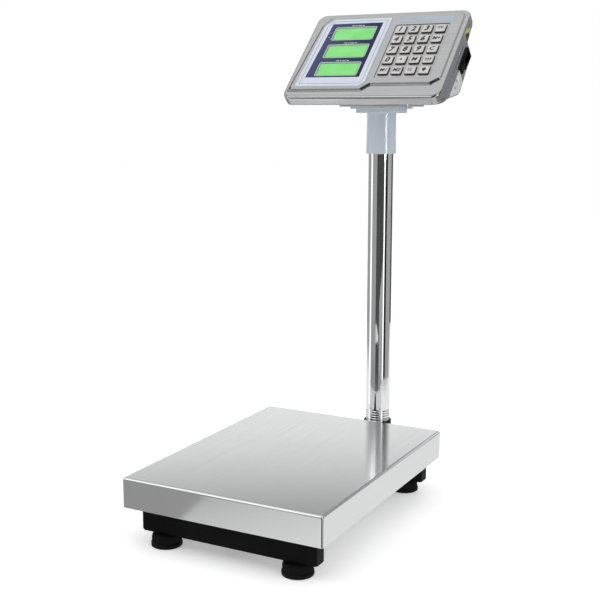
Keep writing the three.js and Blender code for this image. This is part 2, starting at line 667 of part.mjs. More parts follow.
// ---------------------------------------------------------------- assembly

function buildBase(parent) {
  place(parent, 'front_crossbeam', crossbeam(BEAM_Y.front), blackPaint());
  place(parent, 'rear_crossbeam', rearCrossbeam(), blackPaint());
  place(parent, 'base_spine', baseSpine(), blackPaint());
  for (const { name, x, y } of footPlaces) {
    place(parent, `foot_pad_${name}`, footPad(x, y), blackRubber());
    place(parent, `foot_stud_${name}`, footStud(x, y), zincSteel());
  }
}

function buildPlatform(parent) {
  place(parent, 'load_cell', loadCell(), aluminium());
  const under = SPINE.top - SPINE.wall - GAP;
  const over = FRAME_PLATE.top + GAP;
  const bolts = [
    ['cell_bolt_rear_1', CELL_BOLTS.near, under - CELL_BOLTS.headHeight, under, CELL.bottom + 13],
    ['cell_bolt_rear_2', CELL_BOLTS.far, under - CELL_BOLTS.headHeight, under, CELL.bottom + 13],
    ['cell_bolt_front_1', -CELL_BOLTS.near, over + CELL_BOLTS.headHeight, over, CELL.bottom + 9],
    ['cell_bolt_front_2', -CELL_BOLTS.far, over + CELL_BOLTS.headHeight, over, CELL.bottom + 9],
  ];
  for (const [name, y, headZ, headEnd, tipZ] of bolts) {
    place(parent, name, hexBolt(0, y, headZ, headEnd, tipZ), zincSteel());
  }
  place(parent, 'top_frame', topFrame(), aluminium());
  for (const { name, x, y } of footPlaces) {
    const pad = post(Math.sign(x) * PAD.x, Math.sign(y) * PAD.y, PAD.radius,
      FRAME_PLATE.top + GAP, PAD.top, 20);
    place(parent, `pan_pad_${name}`, pad, blackRubber());
  }
  place(parent, 'pan_cover', panCover(), brushedSteel());
}

function buildColumn(parent) {
  place(parent, 'column_tube', columnTube(), chromed());
  place(parent, 'column_collar', columnCollar(), blackRubber());
  place(parent, 'load_cell_cable', loadCellCable(), blackRubber());
  place(parent, 'swivel_sleeve', swivelSleeve(), greyPlastic());
  place(parent, 'sleeve_screw', sleeveScrew(), zincSteel());
  place(parent, 'head_bracket', headBracket(), brushedSteel());
}

function buildHead(parent) {
  const head = new THREE.Group();
  head.position.set(HEAD.x, HEAD.y, HEAD.z);
  head.rotation.x = HEAD_TILT;
  parent.add(head);

  place(head, 'front_shell', frontShell(), brushedSteel());
  place(head, 'rear_shell', rearShell(), brushedSteel());
  place(head, 'display_panel', displayPanel(), displayFilm());
  ['weight', 'unit_price', 'total_price'].forEach((name, index) => {
    place(head, `lcd_${name}`, lcdModule(index), greenLcd());
  });

  place(head, 'keypad_plate', keypadPlate(), keySteel());
  keyNames.forEach((names, row) => names.forEach((name, column) => {
    const { x, y } = keyPlace(row, column);
    place(head, name, keyCap(), keySteel()).position.set(x, y, 0);
  }));

  const board = block(0, 0, BOARD.width, BOARD.height, BOARD.top - BOARD.thickness, BOARD.top);
  place(head, 'main_board', board, circuitBoard());
  place(head, 'battery', batteryPack(), batteryCase());
  place(head, 'power_inlet', powerInlet(), blackRubber());
  place(head, 'power_rocker', powerRocker(), blackRubber());
}

const scale = new THREE.Group();
buildBase(scale);
buildPlatform(scale);
buildColumn(scale);
buildHead(scale);

const extent = new THREE.Box3().setFromObject(scale, true);
scale.position.y = -(extent.min.y + extent.max.y) / 2;

export default scale;
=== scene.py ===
"""Looks of a price-computing platform scale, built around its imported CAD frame."""

import math

import bmesh
import bpy
from mathutils import Matrix, Vector
from mathutils.geometry import tessellate_polygon


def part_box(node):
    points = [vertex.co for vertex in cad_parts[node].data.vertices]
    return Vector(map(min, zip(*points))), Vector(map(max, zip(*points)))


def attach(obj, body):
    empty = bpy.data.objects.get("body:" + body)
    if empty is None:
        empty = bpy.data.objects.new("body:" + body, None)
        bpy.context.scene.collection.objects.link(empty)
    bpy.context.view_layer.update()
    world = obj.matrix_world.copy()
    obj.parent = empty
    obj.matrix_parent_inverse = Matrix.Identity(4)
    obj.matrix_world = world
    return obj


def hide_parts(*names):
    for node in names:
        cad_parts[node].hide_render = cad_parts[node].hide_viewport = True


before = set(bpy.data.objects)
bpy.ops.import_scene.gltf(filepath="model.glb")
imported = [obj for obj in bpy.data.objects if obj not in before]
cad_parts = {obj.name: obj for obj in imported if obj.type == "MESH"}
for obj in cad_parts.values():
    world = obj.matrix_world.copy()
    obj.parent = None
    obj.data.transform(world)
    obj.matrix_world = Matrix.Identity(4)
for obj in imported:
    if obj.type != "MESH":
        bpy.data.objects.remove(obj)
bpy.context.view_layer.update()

# Lengths are in millimetres in the helpers below. Two local frames turn them into metres:
# PLATFORM has its origin on the floor under the middle of the pan, and HEAD has its origin on
# the plateau of the head, with x to the right, y up the sloping face and z out of it.

pan_low, pan_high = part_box("pan_cover")
HEAD_TILT = math.radians(44.2)
HEAD_AT = (-6, 287.2, 666.2)
COLUMN_Y = 301.9

PLATFORM = (Matrix.Translation(((pan_low.x + pan_high.x) / 2, (pan_low.y + pan_high.y) / 2, 0))
            @ Matrix.Scale(0.001, 4))
HEAD = PLATFORM @ Matrix.Translation(HEAD_AT) @ Matrix.Rotation(HEAD_TILT, 4, "X")
COLUMN = PLATFORM @ Matrix.Translation((0, COLUMN_Y, 0))

PAN = {"width": 300, "depth": 400, "corner": 4.5, "top": 95.0, "bottom": 53.5, "edge": 3.2,
       "hem": 9.0}
SHEET = 1.5
BEAM_Y = {"front": -170, "rear": 179}
BEAM_END = 130
FEET = {f"{end}_{side}": (x, BEAM_Y[end])
        for end in ("front", "rear") for side, x in (("left", -100), ("right", 100))}
PAN_PAD_AT = (122, 168)
TUBE = {"outer": 19.75, "inner": 18.5, "foot": 25.6, "top": 575.0}
TUBE_RINGS = {"count": 5, "pitch": 4.1, "depth": 0.6, "low": 66.6}
SLEEVE_SCREW_Z = 530
BRACKET_TOP = 584
THREAD_PITCH = 1.5
THREAD_DEPTH = 0.75
STUD_RADIUS = 4.8


# ------------------------------------------------------------------ materials

def shader(name):
    material = bpy.data.materials.new(name)
    material.use_nodes = True
    tree = material.node_tree
    return material, tree, tree.nodes["Principled BSDF"]


def node(tree, kind, settings=(), **inputs):
    made = tree.nodes.new(kind)
    for key, value in dict(settings).items():
        setattr(made, key, value)
    for key, value in inputs.items():
        socket = made.inputs[key.replace("_", " ")]
        if isinstance(value, bpy.types.NodeSocket):
            tree.links.new(value, socket)
        else:
            socket.default_value = value
    return made


def placed(tree, tilt=0.0, scale=(1, 1, 1)):
    """Object coordinates turned into a tilted part's own axes, then scaled."""
    where = node(tree, "ShaderNodeTexCoord")
    turned = node(tree, "ShaderNodeMapping", {"vector_type": "POINT"},
                  Vector=where.outputs["Object"], Rotation=(-tilt, 0, 0))
    scaled = node(tree, "ShaderNodeMapping", {"vector_type": "POINT"},
                  Vector=turned.outputs["Vector"], Scale=scale)
    return scaled.outputs["Vector"]


def noise(tree, vector, scale, detail=3.0, roughness=0.5):
    made = node(tree, "ShaderNodeTexNoise", Vector=vector, Scale=scale, Detail=detail,
                Roughness=roughness)
    return made.outputs["Fac"]


def ramp(tree, fac, low, high, start=0.3, end=0.7):
    made = node(tree, "ShaderNodeValToRGB", Fac=fac)
    stops = made.color_ramp.elements
    stops[0].position, stops[0].color = start, (*low, 1)
    stops[1].position, stops[1].color = end, (*high, 1)
    return made.outputs["Color"]


def spread(tree, fac, low, high, start=0.3, end=0.7):
    made = node(tree, "ShaderNodeMapRange", Value=fac, From_Min=start, From_Max=end,
                To_Min=low, To_Max=high)
    return made.outputs["Result"]


def bumped(tree, surface, height, strength, distance):
    made = node(tree, "ShaderNodeBump", Height=height, Strength=strength, Distance=distance)
    tree.links.new(made.outputs["Normal"], surface.inputs["Normal"])


def brushed_metal(name, dark, light, roughness, tilt=0.0, along="x", grain=900, depth=0.08):
    """Metal with a directional grain, faint cloudy smudges and a slightly uneven gloss."""
    material, tree, surface = shader(name)
    stretch = {"x": (12, grain, grain), "y": (grain, 12, grain), "z": (grain, grain, 12)}[along]
    lines = noise(tree, placed(tree, tilt, stretch), 1.0, 4.0, 0.65)
    cloud = noise(tree, placed(tree, tilt), 9.0, 3.0, 0.55)
    both = node(tree, "ShaderNodeMath", {"operation": "ADD"})
    tree.links.new(lines, both.inputs[0])
    weak = node(tree, "ShaderNodeMath", {"operation": "MULTIPLY"})
    tree.links.new(cloud, weak.inputs[0])
    weak.inputs[1].default_value = 0.35
    tree.links.new(weak.outputs[0], both.inputs[1])
    tree.links.new(ramp(tree, both.outputs[0], dark, light, 0.45, 0.9),
                   surface.inputs["Base Color"])
    tree.links.new(spread(tree, both.outputs[0], roughness * 1.25, roughness * 0.8, 0.4, 0.95),
                   surface.inputs["Roughness"])
    surface.inputs["Metallic"].default_value = 1.0
    bumped(tree, surface, lines, depth, 0.0002)
    return material


def chromed(name):
    material, tree, surface = shader(name)
    haze = noise(tree, placed(tree, 0, (1, 1, 0.25)), 14.0, 3.0)
    tree.links.new(ramp(tree, haze, (0.80, 0.81, 0.82), (0.9, 0.905, 0.91)),
                   surface.inputs["Base Color"])
    tree.links.new(spread(tree, haze, 0.035, 0.075), surface.inputs["Roughness"])
    surface.inputs["Metallic"].default_value = 1.0
    return material


def moulded(name, dark, light, roughness, grain=700, depth=0.12, metallic=0.0, tilt=0.0,
            cloud_scale=16.0):
    """A coated, moulded or cast surface: cloudy colour, fine pitted texture."""
    material, tree, surface = shader(name)
    cloud = noise(tree, placed(tree, tilt), cloud_scale, 3.0, 0.6)
    pits = noise(tree, placed(tree, tilt), grain, 2.0, 0.6)
    tree.links.new(ramp(tree, cloud, dark, light), surface.inputs["Base Color"])
    tree.links.new(spread(tree, pits, roughness * 0.85, roughness * 1.15),
                   surface.inputs["Roughness"])
    surface.inputs["Metallic"].default_value = metallic
    bumped(tree, surface, pits, depth, 0.0003)
    return material


def reflection_gradient_field(name, pale, deep):
    """A printed blue field that runs from pale at the left to deep at the right of the window;
    the gradient is a painted reflection.
    """
    material, tree, surface = shader(name)
    where = placed(tree, HEAD_TILT)
    across = node(tree, "ShaderNodeSeparateXYZ", Vector=where)
    cloud = noise(tree, where, 30.0, 2.0)
    mixed = node(tree, "ShaderNodeMath", {"operation": "MULTIPLY_ADD"})
    tree.links.new(cloud, mixed.inputs[0])
    mixed.inputs[1].default_value = 0.02
    tree.links.new(across.outputs["X"], mixed.inputs[2])
    left = HEAD_AT[0] / 1000 - 0.1
    tree.links.new(ramp(tree, spread(tree, mixed.outputs[0], 0, 1, left, left + 0.1), pale, deep,
                        0.05, 0.95), surface.inputs["Base Color"])
    surface.inputs["Roughness"].default_value = 0.3
    return material


def coated(material, weight, roughness):
    surface = material.node_tree.nodes["Principled BSDF"]
    surface.inputs["Coat Weight"].default_value = weight
    surface.inputs["Coat Roughness"].default_value = roughness
    return material


def dulled(material, specular):
    surface = material.node_tree.nodes["Principled BSDF"]
    surface.inputs["Specular IOR Level"].default_value = specular
    return material


def glowing(name, dark, light, strength, roughness=0.18):
    material, tree, surface = shader(name)
    cloud = noise(tree, placed(tree, HEAD_TILT), 38.0, 2.0)
    colour = ramp(tree, cloud, dark, light)
    tree.links.new(colour, surface.inputs["Base Color"])
    tree.links.new(colour, surface.inputs["Emission Color"])
    surface.inputs["Emission Strength"].default_value = strength
    surface.inputs["Roughness"].default_value = roughness
    return coated(material, 0.6, 0.08)


STEEL_PAN = brushed_metal("pan_steel", (0.73, 0.733, 0.737), (0.76, 0.763, 0.767), 0.13,
                          along="y", grain=700, depth=0.003)
STEEL_HEAD = brushed_metal("head_steel", (0.42, 0.43, 0.435), (0.52, 0.53, 0.535), 0.17,
                           HEAD_TILT, grain=700, depth=0.02)
# A darker copy of the head steel: painted shade in the plateau's crease and a painted dark
# reflection along its left crest.
STEEL_SHADE_AND_REFLECTION = brushed_metal("head_steel_painted_shade_and_reflection", (0.07, 0.075, 0.085), (0.13, 0.135, 0.15),
                             0.3, HEAD_TILT, grain=700, depth=0.02)
STEEL_SIDE = moulded("side_plate_zinc", (0.4, 0.42, 0.43), (0.62, 0.64, 0.65), 0.4, 250, 0.3,
                     0.2, HEAD_TILT, 90.0)
STEEL_BRACKET = brushed_metal("bracket_steel", (0.58, 0.585, 0.59), (0.72, 0.725, 0.73), 0.26,
                              grain=700)
ZINC = brushed_metal("zinc_plate", (0.5, 0.51, 0.52), (0.66, 0.67, 0.68), 0.3, grain=1500)
CHROME = chromed("column_chrome")
PAINT = dulled(moulded("black_paint", (0.003, 0.003, 0.0035), (0.006, 0.006, 0.0065), 0.5, 420,
                       0.15), 0.05)
RUBBER = dulled(moulded("black_rubber", (0.003, 0.003, 0.003), (0.007, 0.007, 0.007), 0.6, 900,
                        0.3), 0.08)
PLUG = dulled(moulded("plug_plastic", (0.004, 0.004, 0.0045), (0.008, 0.008, 0.0085), 0.5, 800,
                      0.2), 0.06)
GREY = moulded("grey_plastic", (0.42, 0.47, 0.53), (0.46, 0.51, 0.57), 0.24, 800, 0.03)
GREY = coated(GREY, 0.5, 0.1)
CAST = moulded("cast_aluminium", (0.46, 0.465, 0.47), (0.62, 0.625, 0.63), 0.42, 650, 0.35, 1.0)
CELL = brushed_metal("cell_aluminium", (0.62, 0.625, 0.63), (0.74, 0.745, 0.75), 0.3,
                     along="y", grain=600)
JACKET = moulded("cable_jacket", (0.016, 0.016, 0.018), (0.024, 0.024, 0.026), 0.5, 900, 0.1)
FILM = coated(moulded("display_film", (0.56, 0.61, 0.70), (0.63, 0.68, 0.76), 0.3, 500, 0.03,
                      tilt=HEAD_TILT), 0.3, 0.15)
FILM_LINE = moulded("film_line", (0.16, 0.18, 0.25), (0.22, 0.24, 0.31), 0.35, 500, 0.03)
# The blue field's pale-to-deep gradient across the window is a painted reflection over the
# printed blue.
FILM_BLUE = dulled(reflection_gradient_field("film_blue", (0.05, 0.06, 0.16), (0.008, 0.012, 0.06)), 0.2)
FILM_PALE = moulded("film_pale", (0.6, 0.64, 0.7), (0.68, 0.71, 0.76), 0.35, 500, 0.03)
LCD = glowing("green_lcd", (0.13, 0.58, 0.12), (0.18, 0.66, 0.16), 0.15)
LCD_RIM = moulded("lcd_rim", (0.4, 0.52, 0.44), (0.48, 0.58, 0.5), 0.4, 500, 0.04)
STRIP = coated(moulded("name_strip", (0.33, 0.39, 0.46), (0.4, 0.46, 0.52), 0.3, 500, 0.03),
               0.3, 0.15)
KEY_PLATE = brushed_metal("keypad_steel", (0.42, 0.42, 0.425), (0.54, 0.54, 0.545), 0.3,
                          HEAD_TILT, grain=700, depth=0.03)
KEY_CAP = moulded("key_metal", (0.56, 0.55, 0.53), (0.66, 0.65, 0.635), 0.36, 700, 0.08, 0.55,
                  HEAD_TILT, 60.0)
# Near-black for the key sides, stem and underside: painted shade round each cap.
KEY_SIDE_SHADE = dulled(moulded("key_side_painted_shade", (0.03, 0.03, 0.035), (0.055, 0.055, 0.06), 0.45, 700, 0.08),
                  0.25)
LEGEND = moulded("legend_ink", (0.012, 0.012, 0.016), (0.022, 0.022, 0.028), 0.5, 500, 0.02)
BOARD = coated(moulded("circuit_board", (0.012, 0.11, 0.045), (0.02, 0.16, 0.07), 0.4, 120,
                       0.15), 0.3, 0.2)
CHIP = moulded("chip_black", (0.012, 0.012, 0.013), (0.02, 0.02, 0.021), 0.5, 600, 0.1)
BATTERY = moulded("battery_case", (0.025, 0.03, 0.042), (0.04, 0.045, 0.06), 0.5, 600, 0.15)
BLACK = dulled(moulded("black_plastic", (0.003, 0.003, 0.0035), (0.006, 0.006, 0.0065), 0.42,
                       750, 0.15), 0.1)
YELLOW = moulded("yellow_label", (0.27, 0.24, 0.05), (0.42, 0.37, 0.09), 0.4, 400, 0.04)


# ------------------------------------------------------------------ outlines and meshes

def rounded_rectangle(width, height, radius, x=0.0, y=0.0, steps=6):
    """Counter-clockwise outline of a rounded rectangle about (x, y)."""
    radius = max(radius, 0.05)
    points = []
    for sx, sy, start in ((1, -1, -90), (1, 1, 0), (-1, 1, 90), (-1, -1, 180)):
        cx = x + sx * (width / 2 - radius)
        cy = y + sy * (height / 2 - radius)
        for k in range(steps + 1):
            angle = math.radians(start + 90 * k / steps)
            points.append((cx + radius * math.cos(angle), cy + radius * math.sin(angle)))
    return points


def inset(corners, distance):
    """A counter-clockwise polygon drawn in by a distance, or let out by a negative one."""
    moved = []
    for k, corner in enumerate(corners):
        before, here = Vector(corners[k - 1]), Vector(corner)
        after = Vector(corners[(k + 1) % len(corners)])
        first, second = (here - before).normalized(), (after - here).normalized()
        normals = Vector((-first.y, first.x)), Vector((-second.y, second.x))
        shift = (normals[0] + normals[1]) * (distance / (1 + normals[0].dot(normals[1])))
        moved.append(tuple(here + shift))
    return moved


def anticlockwise(corners):
    area = sum(a[0] * b[1] - b[0] * a[1] for a, b in zip(corners, corners[1:] + corners[:1]))
    return corners if area > 0 else corners[::-1]


def filleted(corners, radius, steps=4):
    """A polygon with its corners rounded off."""
    points = []
    for k, corner in enumerate(corners):
        here = Vector(corner)
        before = Vector(corners[k - 1]) - here
        after = Vector(corners[(k + 1) % len(corners)]) - here
        reach = min(radius, before.length * 0.4, after.length * 0.4)
        start, end = here + before.normalized() * reach, here + after.normalized() * reach
        for step in range(steps + 1):
            t = step / steps
            points.append(tuple((1 - t) ** 2 * start + 2 * t * (1 - t) * here + t * t * end))
    return points


def ring(bm, outline, z):
    return [bm.verts.new((x, y, z)) for x, y in outline]


def bridge(bm, low, high, material=0):
    for k in range(len(low)):
        j = (k + 1) % len(low)
        face = bm.faces.new((low[k], low[j], high[j], high[k]))
        face.material_index = material


def stack(bm, levels, material=0):
    """Bridged rings through (outline, z) levels. Returns the first and last ring."""
    rings = [ring(bm, outline, z) for outline, z in levels]
    for low, high in zip(rings, rings[1:]):
        bridge(bm, low, high, material)
    return rings[0], rings[-1]


def fill(bm, outer, holes=(), material=0, up=True):
    """Triangles between an outer ring and the rings of its holes, facing +z or -z."""
    loops = [list(outer), *map(list, holes)]
    flat = [v for loop in loops for v in loop]
    for corners in tessellate_polygon([[Vector((v.co.x, v.co.y, 0)) for v in loop]
                                       for loop in loops]):
        a, b, c = (flat[k] for k in corners)
        ab, ac = b.co - a.co, c.co - a.co
        rising = ab.x * ac.y - ab.y * ac.x > 0
        face = bm.faces.new((a, b, c) if rising == up else (a, c, b))
        face.material_index = material


def slab(bm, outline_at, z0, z1, edge, material=0, steps=3, lower_edge=0.0):
    """A closed slab. outline_at(d) is its outline drawn in by d; its rims are rounded."""
    angles = [math.pi / 2 * k / steps for k in range(steps + 1)]
    levels = [(outline_at(0), z0)]
    if lower_edge:
        levels = [(outline_at(lower_edge * (1 - math.sin(a))),
                   z0 + lower_edge * (1 - math.cos(a))) for a in angles]
    levels += [(outline_at(edge * (1 - math.cos(a))), z1 - edge * (1 - math.sin(a)))
               for a in angles]
    first, last = stack(bm, levels, material)
    fill(bm, first, (), material, False)
    fill(bm, last, (), material, True)


def rounded_slab(bm, width, height, corner, z0, z1, edge, x=0.0, y=0.0, material=0, steps=3,
                 lower_edge=0.0):
    slab(bm, lambda d: rounded_rectangle(width - 2 * d, height - 2 * d, corner - d, x, y),
         z0, z1, edge, material, steps, lower_edge)


def arc(radius, start, end, steps, x=0.0, y=0.0):
    """Points of an arc, with its ends, from start to end in degrees."""
    angles = [math.radians(start + (end - start) * k / steps) for k in range(steps + 1)]
    return [(x + radius * math.cos(a), y + radius * math.sin(a)) for a in angles]


def lathe(bm, profile, segments=64, closed=False, material=0, radius_at=None):
    """Turns (radius, z) points about the z axis. A closed profile makes a ring."""
    radius_at = radius_at or (lambda radius, z, angle: radius)
    rings = []
    for radius, z in profile:
        if radius == 0:
            rings.append([bm.verts.new((0, 0, z))])
            continue
        loop = []
        for k in range(segments):
            angle = 2 * math.pi * k / segments
            r = radius_at(radius, z, angle)
            loop.append(bm.verts.new((r * math.cos(angle), r * math.sin(angle), z)))
        rings.append(loop)
    pairs = list(zip(rings, rings[1:])) + ([(rings[-1], rings[0])] if closed else [])
    for low, high in pairs:
        for k in range(segments):
            j = (k + 1) % segments
            corners = [low[k % len(low)], low[j % len(low)], high[j % len(high)],
                       high[k % len(high)]]
            face = bm.faces.new(list(dict.fromkeys(corners)))
            face.material_index = material


def link(name, mesh, body, replaces, angle, extra=()):
    for polygon in mesh.polygons:
        polygon.use_smooth = True
    mesh.set_sharp_from_angle(angle=math.radians(angle))
    made = bpy.data.objects.new(name, mesh)
    bpy.context.scene.collection.objects.link(made)
    for kind, settings in extra:
        modifier = made.modifiers.new(kind.lower(), kind)
        for key, value in settings.items():
            setattr(modifier, key, value)
    weighted = made.modifiers.new("normals", "WEIGHTED_NORMAL")
    weighted.keep_sharp = True
    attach(made, body)
    if replaces:
        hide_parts(*replaces)
    return made


def piece(name, bm, matrix, body, materials, replaces=(), angle=35, extra=(),
          orient=True):
    """Turns a bmesh in local millimetres into a piece of the scale."""
    if orient:
        bmesh.ops.recalc_face_normals(bm, faces=bm.faces)
    mesh = bpy.data.meshes.new(name)
    bm.to_mesh(mesh)
    bm.free()
    mesh.transform(matrix)
    for material in materials:
        mesh.materials.append(material)
    return link(name, mesh, body, replaces, angle, extra)


def refined(node_name, body, material, bevel, segments=2, angle=32):
    """The CAD node's own shape with its edges rounded off."""
    bm = bmesh.new()
    bm.from_mesh(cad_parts[node_name].data)
    bmesh.ops.remove_doubles(bm, verts=bm.verts, dist=1e-6)
    bmesh.ops.dissolve_limit(bm, angle_limit=math.radians(1), verts=bm.verts, edges=bm.edges)
    mesh = bpy.data.meshes.new(node_name + "_look")
    bm.to_mesh(mesh)
    bm.free()
    mesh.materials.append(material)
    rounding = ("BEVEL", {"width": bevel / 1000, "segments": segments, "limit_method": "ANGLE",
                          "angle_limit": math.radians(angle), "use_clamp_overlap": True})
    return link(node_name + "_look", mesh, body, (node_name,), angle, (rounding,))


# ------------------------------------------------------------------ pan and base frame

def build_pan():
    """The folded tray: a hem inside the skirt, a rolled lower rim and a rounded top edge."""
    top, bottom, edge = PAN["top"], PAN["bottom"], PAN["edge"]

    def outline(d):
        return rounded_rectangle(PAN["width"] - 2 * d, PAN["depth"] - 2 * d, PAN["corner"] - d,
                                 steps=8)

    bm = bmesh.new()
    profile = [(SHEET, bottom + PAN["hem"]), (SHEET, bottom + 0.7)]
    profile += [(0.75 - 0.75 * math.cos(a), bottom + 0.7 - 0.7 * math.sin(a))
                for a in (math.radians(180 - 180 * k / 6) for k in range(1, 6))]
    profile += [(0.0, bottom + 0.7)]
    profile += [(edge * (1 - math.cos(a)), top - edge * (1 - math.sin(a)))
                for a in (math.radians(90 * k / 6) for k in range(7))]
    profile += [(edge + 0.6, top)]
    first, last = stack(bm, [(outline(d), z) for d, z in profile])
    fill(bm, last)
    inside = ((SHEET, top - edge), (2.3, top - 1.8), (3.4, top - SHEET))
    rings = [first, *(ring(bm, outline(d), z) for d, z in inside)]
    for low, high in zip(rings, rings[1:]):
        bridge(bm, high, low)
    fill(bm, rings[-1], (), 0, False)
    piece("pan_tray", bm, PLATFORM, "pan", [STEEL_PAN], ("pan_cover",),
          orient=False)


def end_plug(name, width, height, at, quarter_turns, axis):
    """A moulded plug pressed into the end of a rectangular tube."""
    turn = Matrix.Translation(at) @ Matrix.Rotation(math.radians(90) * quarter_turns, 4, axis)
    bm = bmesh.new()
    rounded_slab(bm, width, height, 2.5, 0, 2.2, 0.9)
    rounded_slab(bm, width - 4.2, height - 4.2, 1.5, -9, 0.2, 0.1)
    piece(name, bm, PLATFORM @ turn, "base", [PLUG])


def build_base():
    for end, y in BEAM_Y.items():
        refined(end + "_crossbeam", "base", PAINT, 1.6, 3)
        for name, side in (("left", -1), ("right", 1)):
            end_plug(f"{end}_beam_plug_{name}", 39.6, 19.6, (BEAM_END * side, y, 38.3), side,
                     "Y")
    refined("base_spine", "base", PAINT, 1.2, 2)
    end_plug("spine_plug", 49.6, 27.6, (0, 330, 37.3), -1, "X")


def foot_pad(name, x, y):
    """Rubber foot: a smooth lip below, a fluted grip band above it, and a stud bore."""
    flutes = 30
    lip = arc(1.6, -90, 0, 3, 19.6, 1.6) + arc(1.4, 0, 80, 4, 19.8, 4.6)
    band = [(19.3, 6.8), (19.9, 7.6), (20.1, 9.5), (20.1, 12.5), (19.8, 14.8), (19.0, 16.2),
            (17.4, 17.2), (15.0, 17.7)]
    bore = [(6.4, 18.0), (5.1, 17.9), (5.1, 5.0), (0, 5.0)]
    under = [(0, 1.0), (11, 1.0), (12.5, 0.0), (18.0, 0.0)]

    def radius_at(radius, z, angle):
        if 7.0 < z < 16.9 and radius > 15:
            depth = 1.0 * min(1.0, (z - 6.8) / 1.4, max(0.0, (17.0 - z) / 1.5))
            return radius - depth * (0.5 - 0.5 * math.cos(flutes * angle)) ** 0.7
        return radius

    bm = bmesh.new()
    lathe(bm, under + lip + band + bore, flutes * 6, radius_at=radius_at)
    piece(f"foot_pad_{name}_look", bm, PLATFORM @ Matrix.Translation((x, y, 0)),
          f"foot_{name}", [RUBBER], (f"foot_pad_{name}",), 50)


def foot_stud(name, x, y):
    """Levelling stud, with its thread cut into the round shank."""
    low, high, segments = 5.3, 46.0, 24
    bm = bmesh.new()
    rows = int((high - low) / THREAD_PITCH * 4)
    rings = [[bm.verts.new((0, 0, low))]]
    for row in range(rows + 1):
        z = low + (high - low) * row / rows
        loop = []
        for k in range(segments):
            angle = 2 * math.pi * k / segments
            phase = (z / THREAD_PITCH - k / segments) % 1
            height = THREAD_DEPTH * (1 - abs(2 * phase - 1))
            runout = min(1.0, (z - low) / THREAD_PITCH, (high - z) / THREAD_PITCH)
            r = STUD_RADIUS - THREAD_DEPTH + height * max(runout, 0)
            loop.append(bm.verts.new((r * math.cos(angle), r * math.sin(angle), z)))
        rings.append(loop)
    rings.append([bm.verts.new((0, 0, high))])
    for a, b in zip(rings, rings[1:]):
        for k in range(segments):
            j = (k + 1) % segments
            corners = [a[k % len(a)], a[j % len(a)], b[j % len(b)], b[k % len(b)]]
            bm.faces.new(list(dict.fromkeys(corners)))
    piece(f"foot_stud_{name}_look", bm, PLATFORM @ Matrix.Translation((x, y, 0)),
          f"foot_stud_{name}", [ZINC], (f"foot_stud_{name}",), 40)


def pan_pad(name, x, y):
    low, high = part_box(f"pan_pad_{name}")
    z0, z1 = low.z * 1000, high.z * 1000
    bm = bmesh.new()
    profile = ([(0, z0), (11.4, z0), (12, z0 + 0.6)] + arc(1.2, 0, 90, 4, 10.8, z1 - 1.2)
               + [(8.0, z1), (7.2, z1 - 0.6), (0, z1 - 0.6)])
    lathe(bm, profile, 48)
    piece(f"pan_pad_{name}_look", bm, PLATFORM @ Matrix.Translation((x, y, 0)), "base",
          [RUBBER], (f"pan_pad_{name}",))


def build_platform():
    refined("load_cell", "base", CELL, 0.6)
    refined("top_frame", "base", CAST, 1.8, 3)
    for name in ("rear_1", "rear_2", "front_1", "front_2"):
        refined(f"cell_bolt_{name}", "base", ZINC, 0.5)
    for name, (x, y) in FEET.items():
        foot_pad(name, x, y)
        foot_stud(name, x, y)
        pan_pad(name, math.copysign(PAN_PAD_AT[0], x), math.copysign(PAN_PAD_AT[1], y))


# ------------------------------------------------------------------ column and swivel

def build_column():
    """The chromed tube with its rolled rings, the collar round its foot, and the cable."""
    bm = bmesh.new()
    outer, inner, foot, top = (TUBE[key] for key in ("outer", "inner", "foot", "top"))
    profile = [(inner, foot), (outer, foot)]
    for k in range(TUBE_RINGS["count"] * 8 + 1):
        wave = 0.5 - 0.5 * math.cos(2 * math.pi * k / 8)
        profile.append((outer - TUBE_RINGS["depth"] * wave,
                        TUBE_RINGS["low"] + TUBE_RINGS["pitch"] * k / 8))
    profile += [(outer, 95), (outer, 300), (outer, top), (inner, top), (inner, 300)]
    lathe(bm, profile, 96, closed=True)
    piece("column_tube_look", bm, COLUMN, "base", [CHROME], ("column_tube",), 40)

    bm = bmesh.new()
    profile = [(20.05, 51.6), (24.0, 51.6), (24.6, 52.2)] + arc(0.8, 0, 90, 4, 23.8, 54.2)
    profile += arc(0.6, 270, 180, 3, 23.2, 55.6)
    profile += arc(1.1, 0, 90, 4, 21.5, 65.9) + [(20.05, 67.0), (20.05, 60.0)]
    lathe(bm, profile, 72, closed=True)
    piece("column_collar_look", bm, COLUMN, "base", [BLACK],
          ("column_collar",))
    refined("load_cell_cable", "base", JACKET, 0.2, 1, 70)


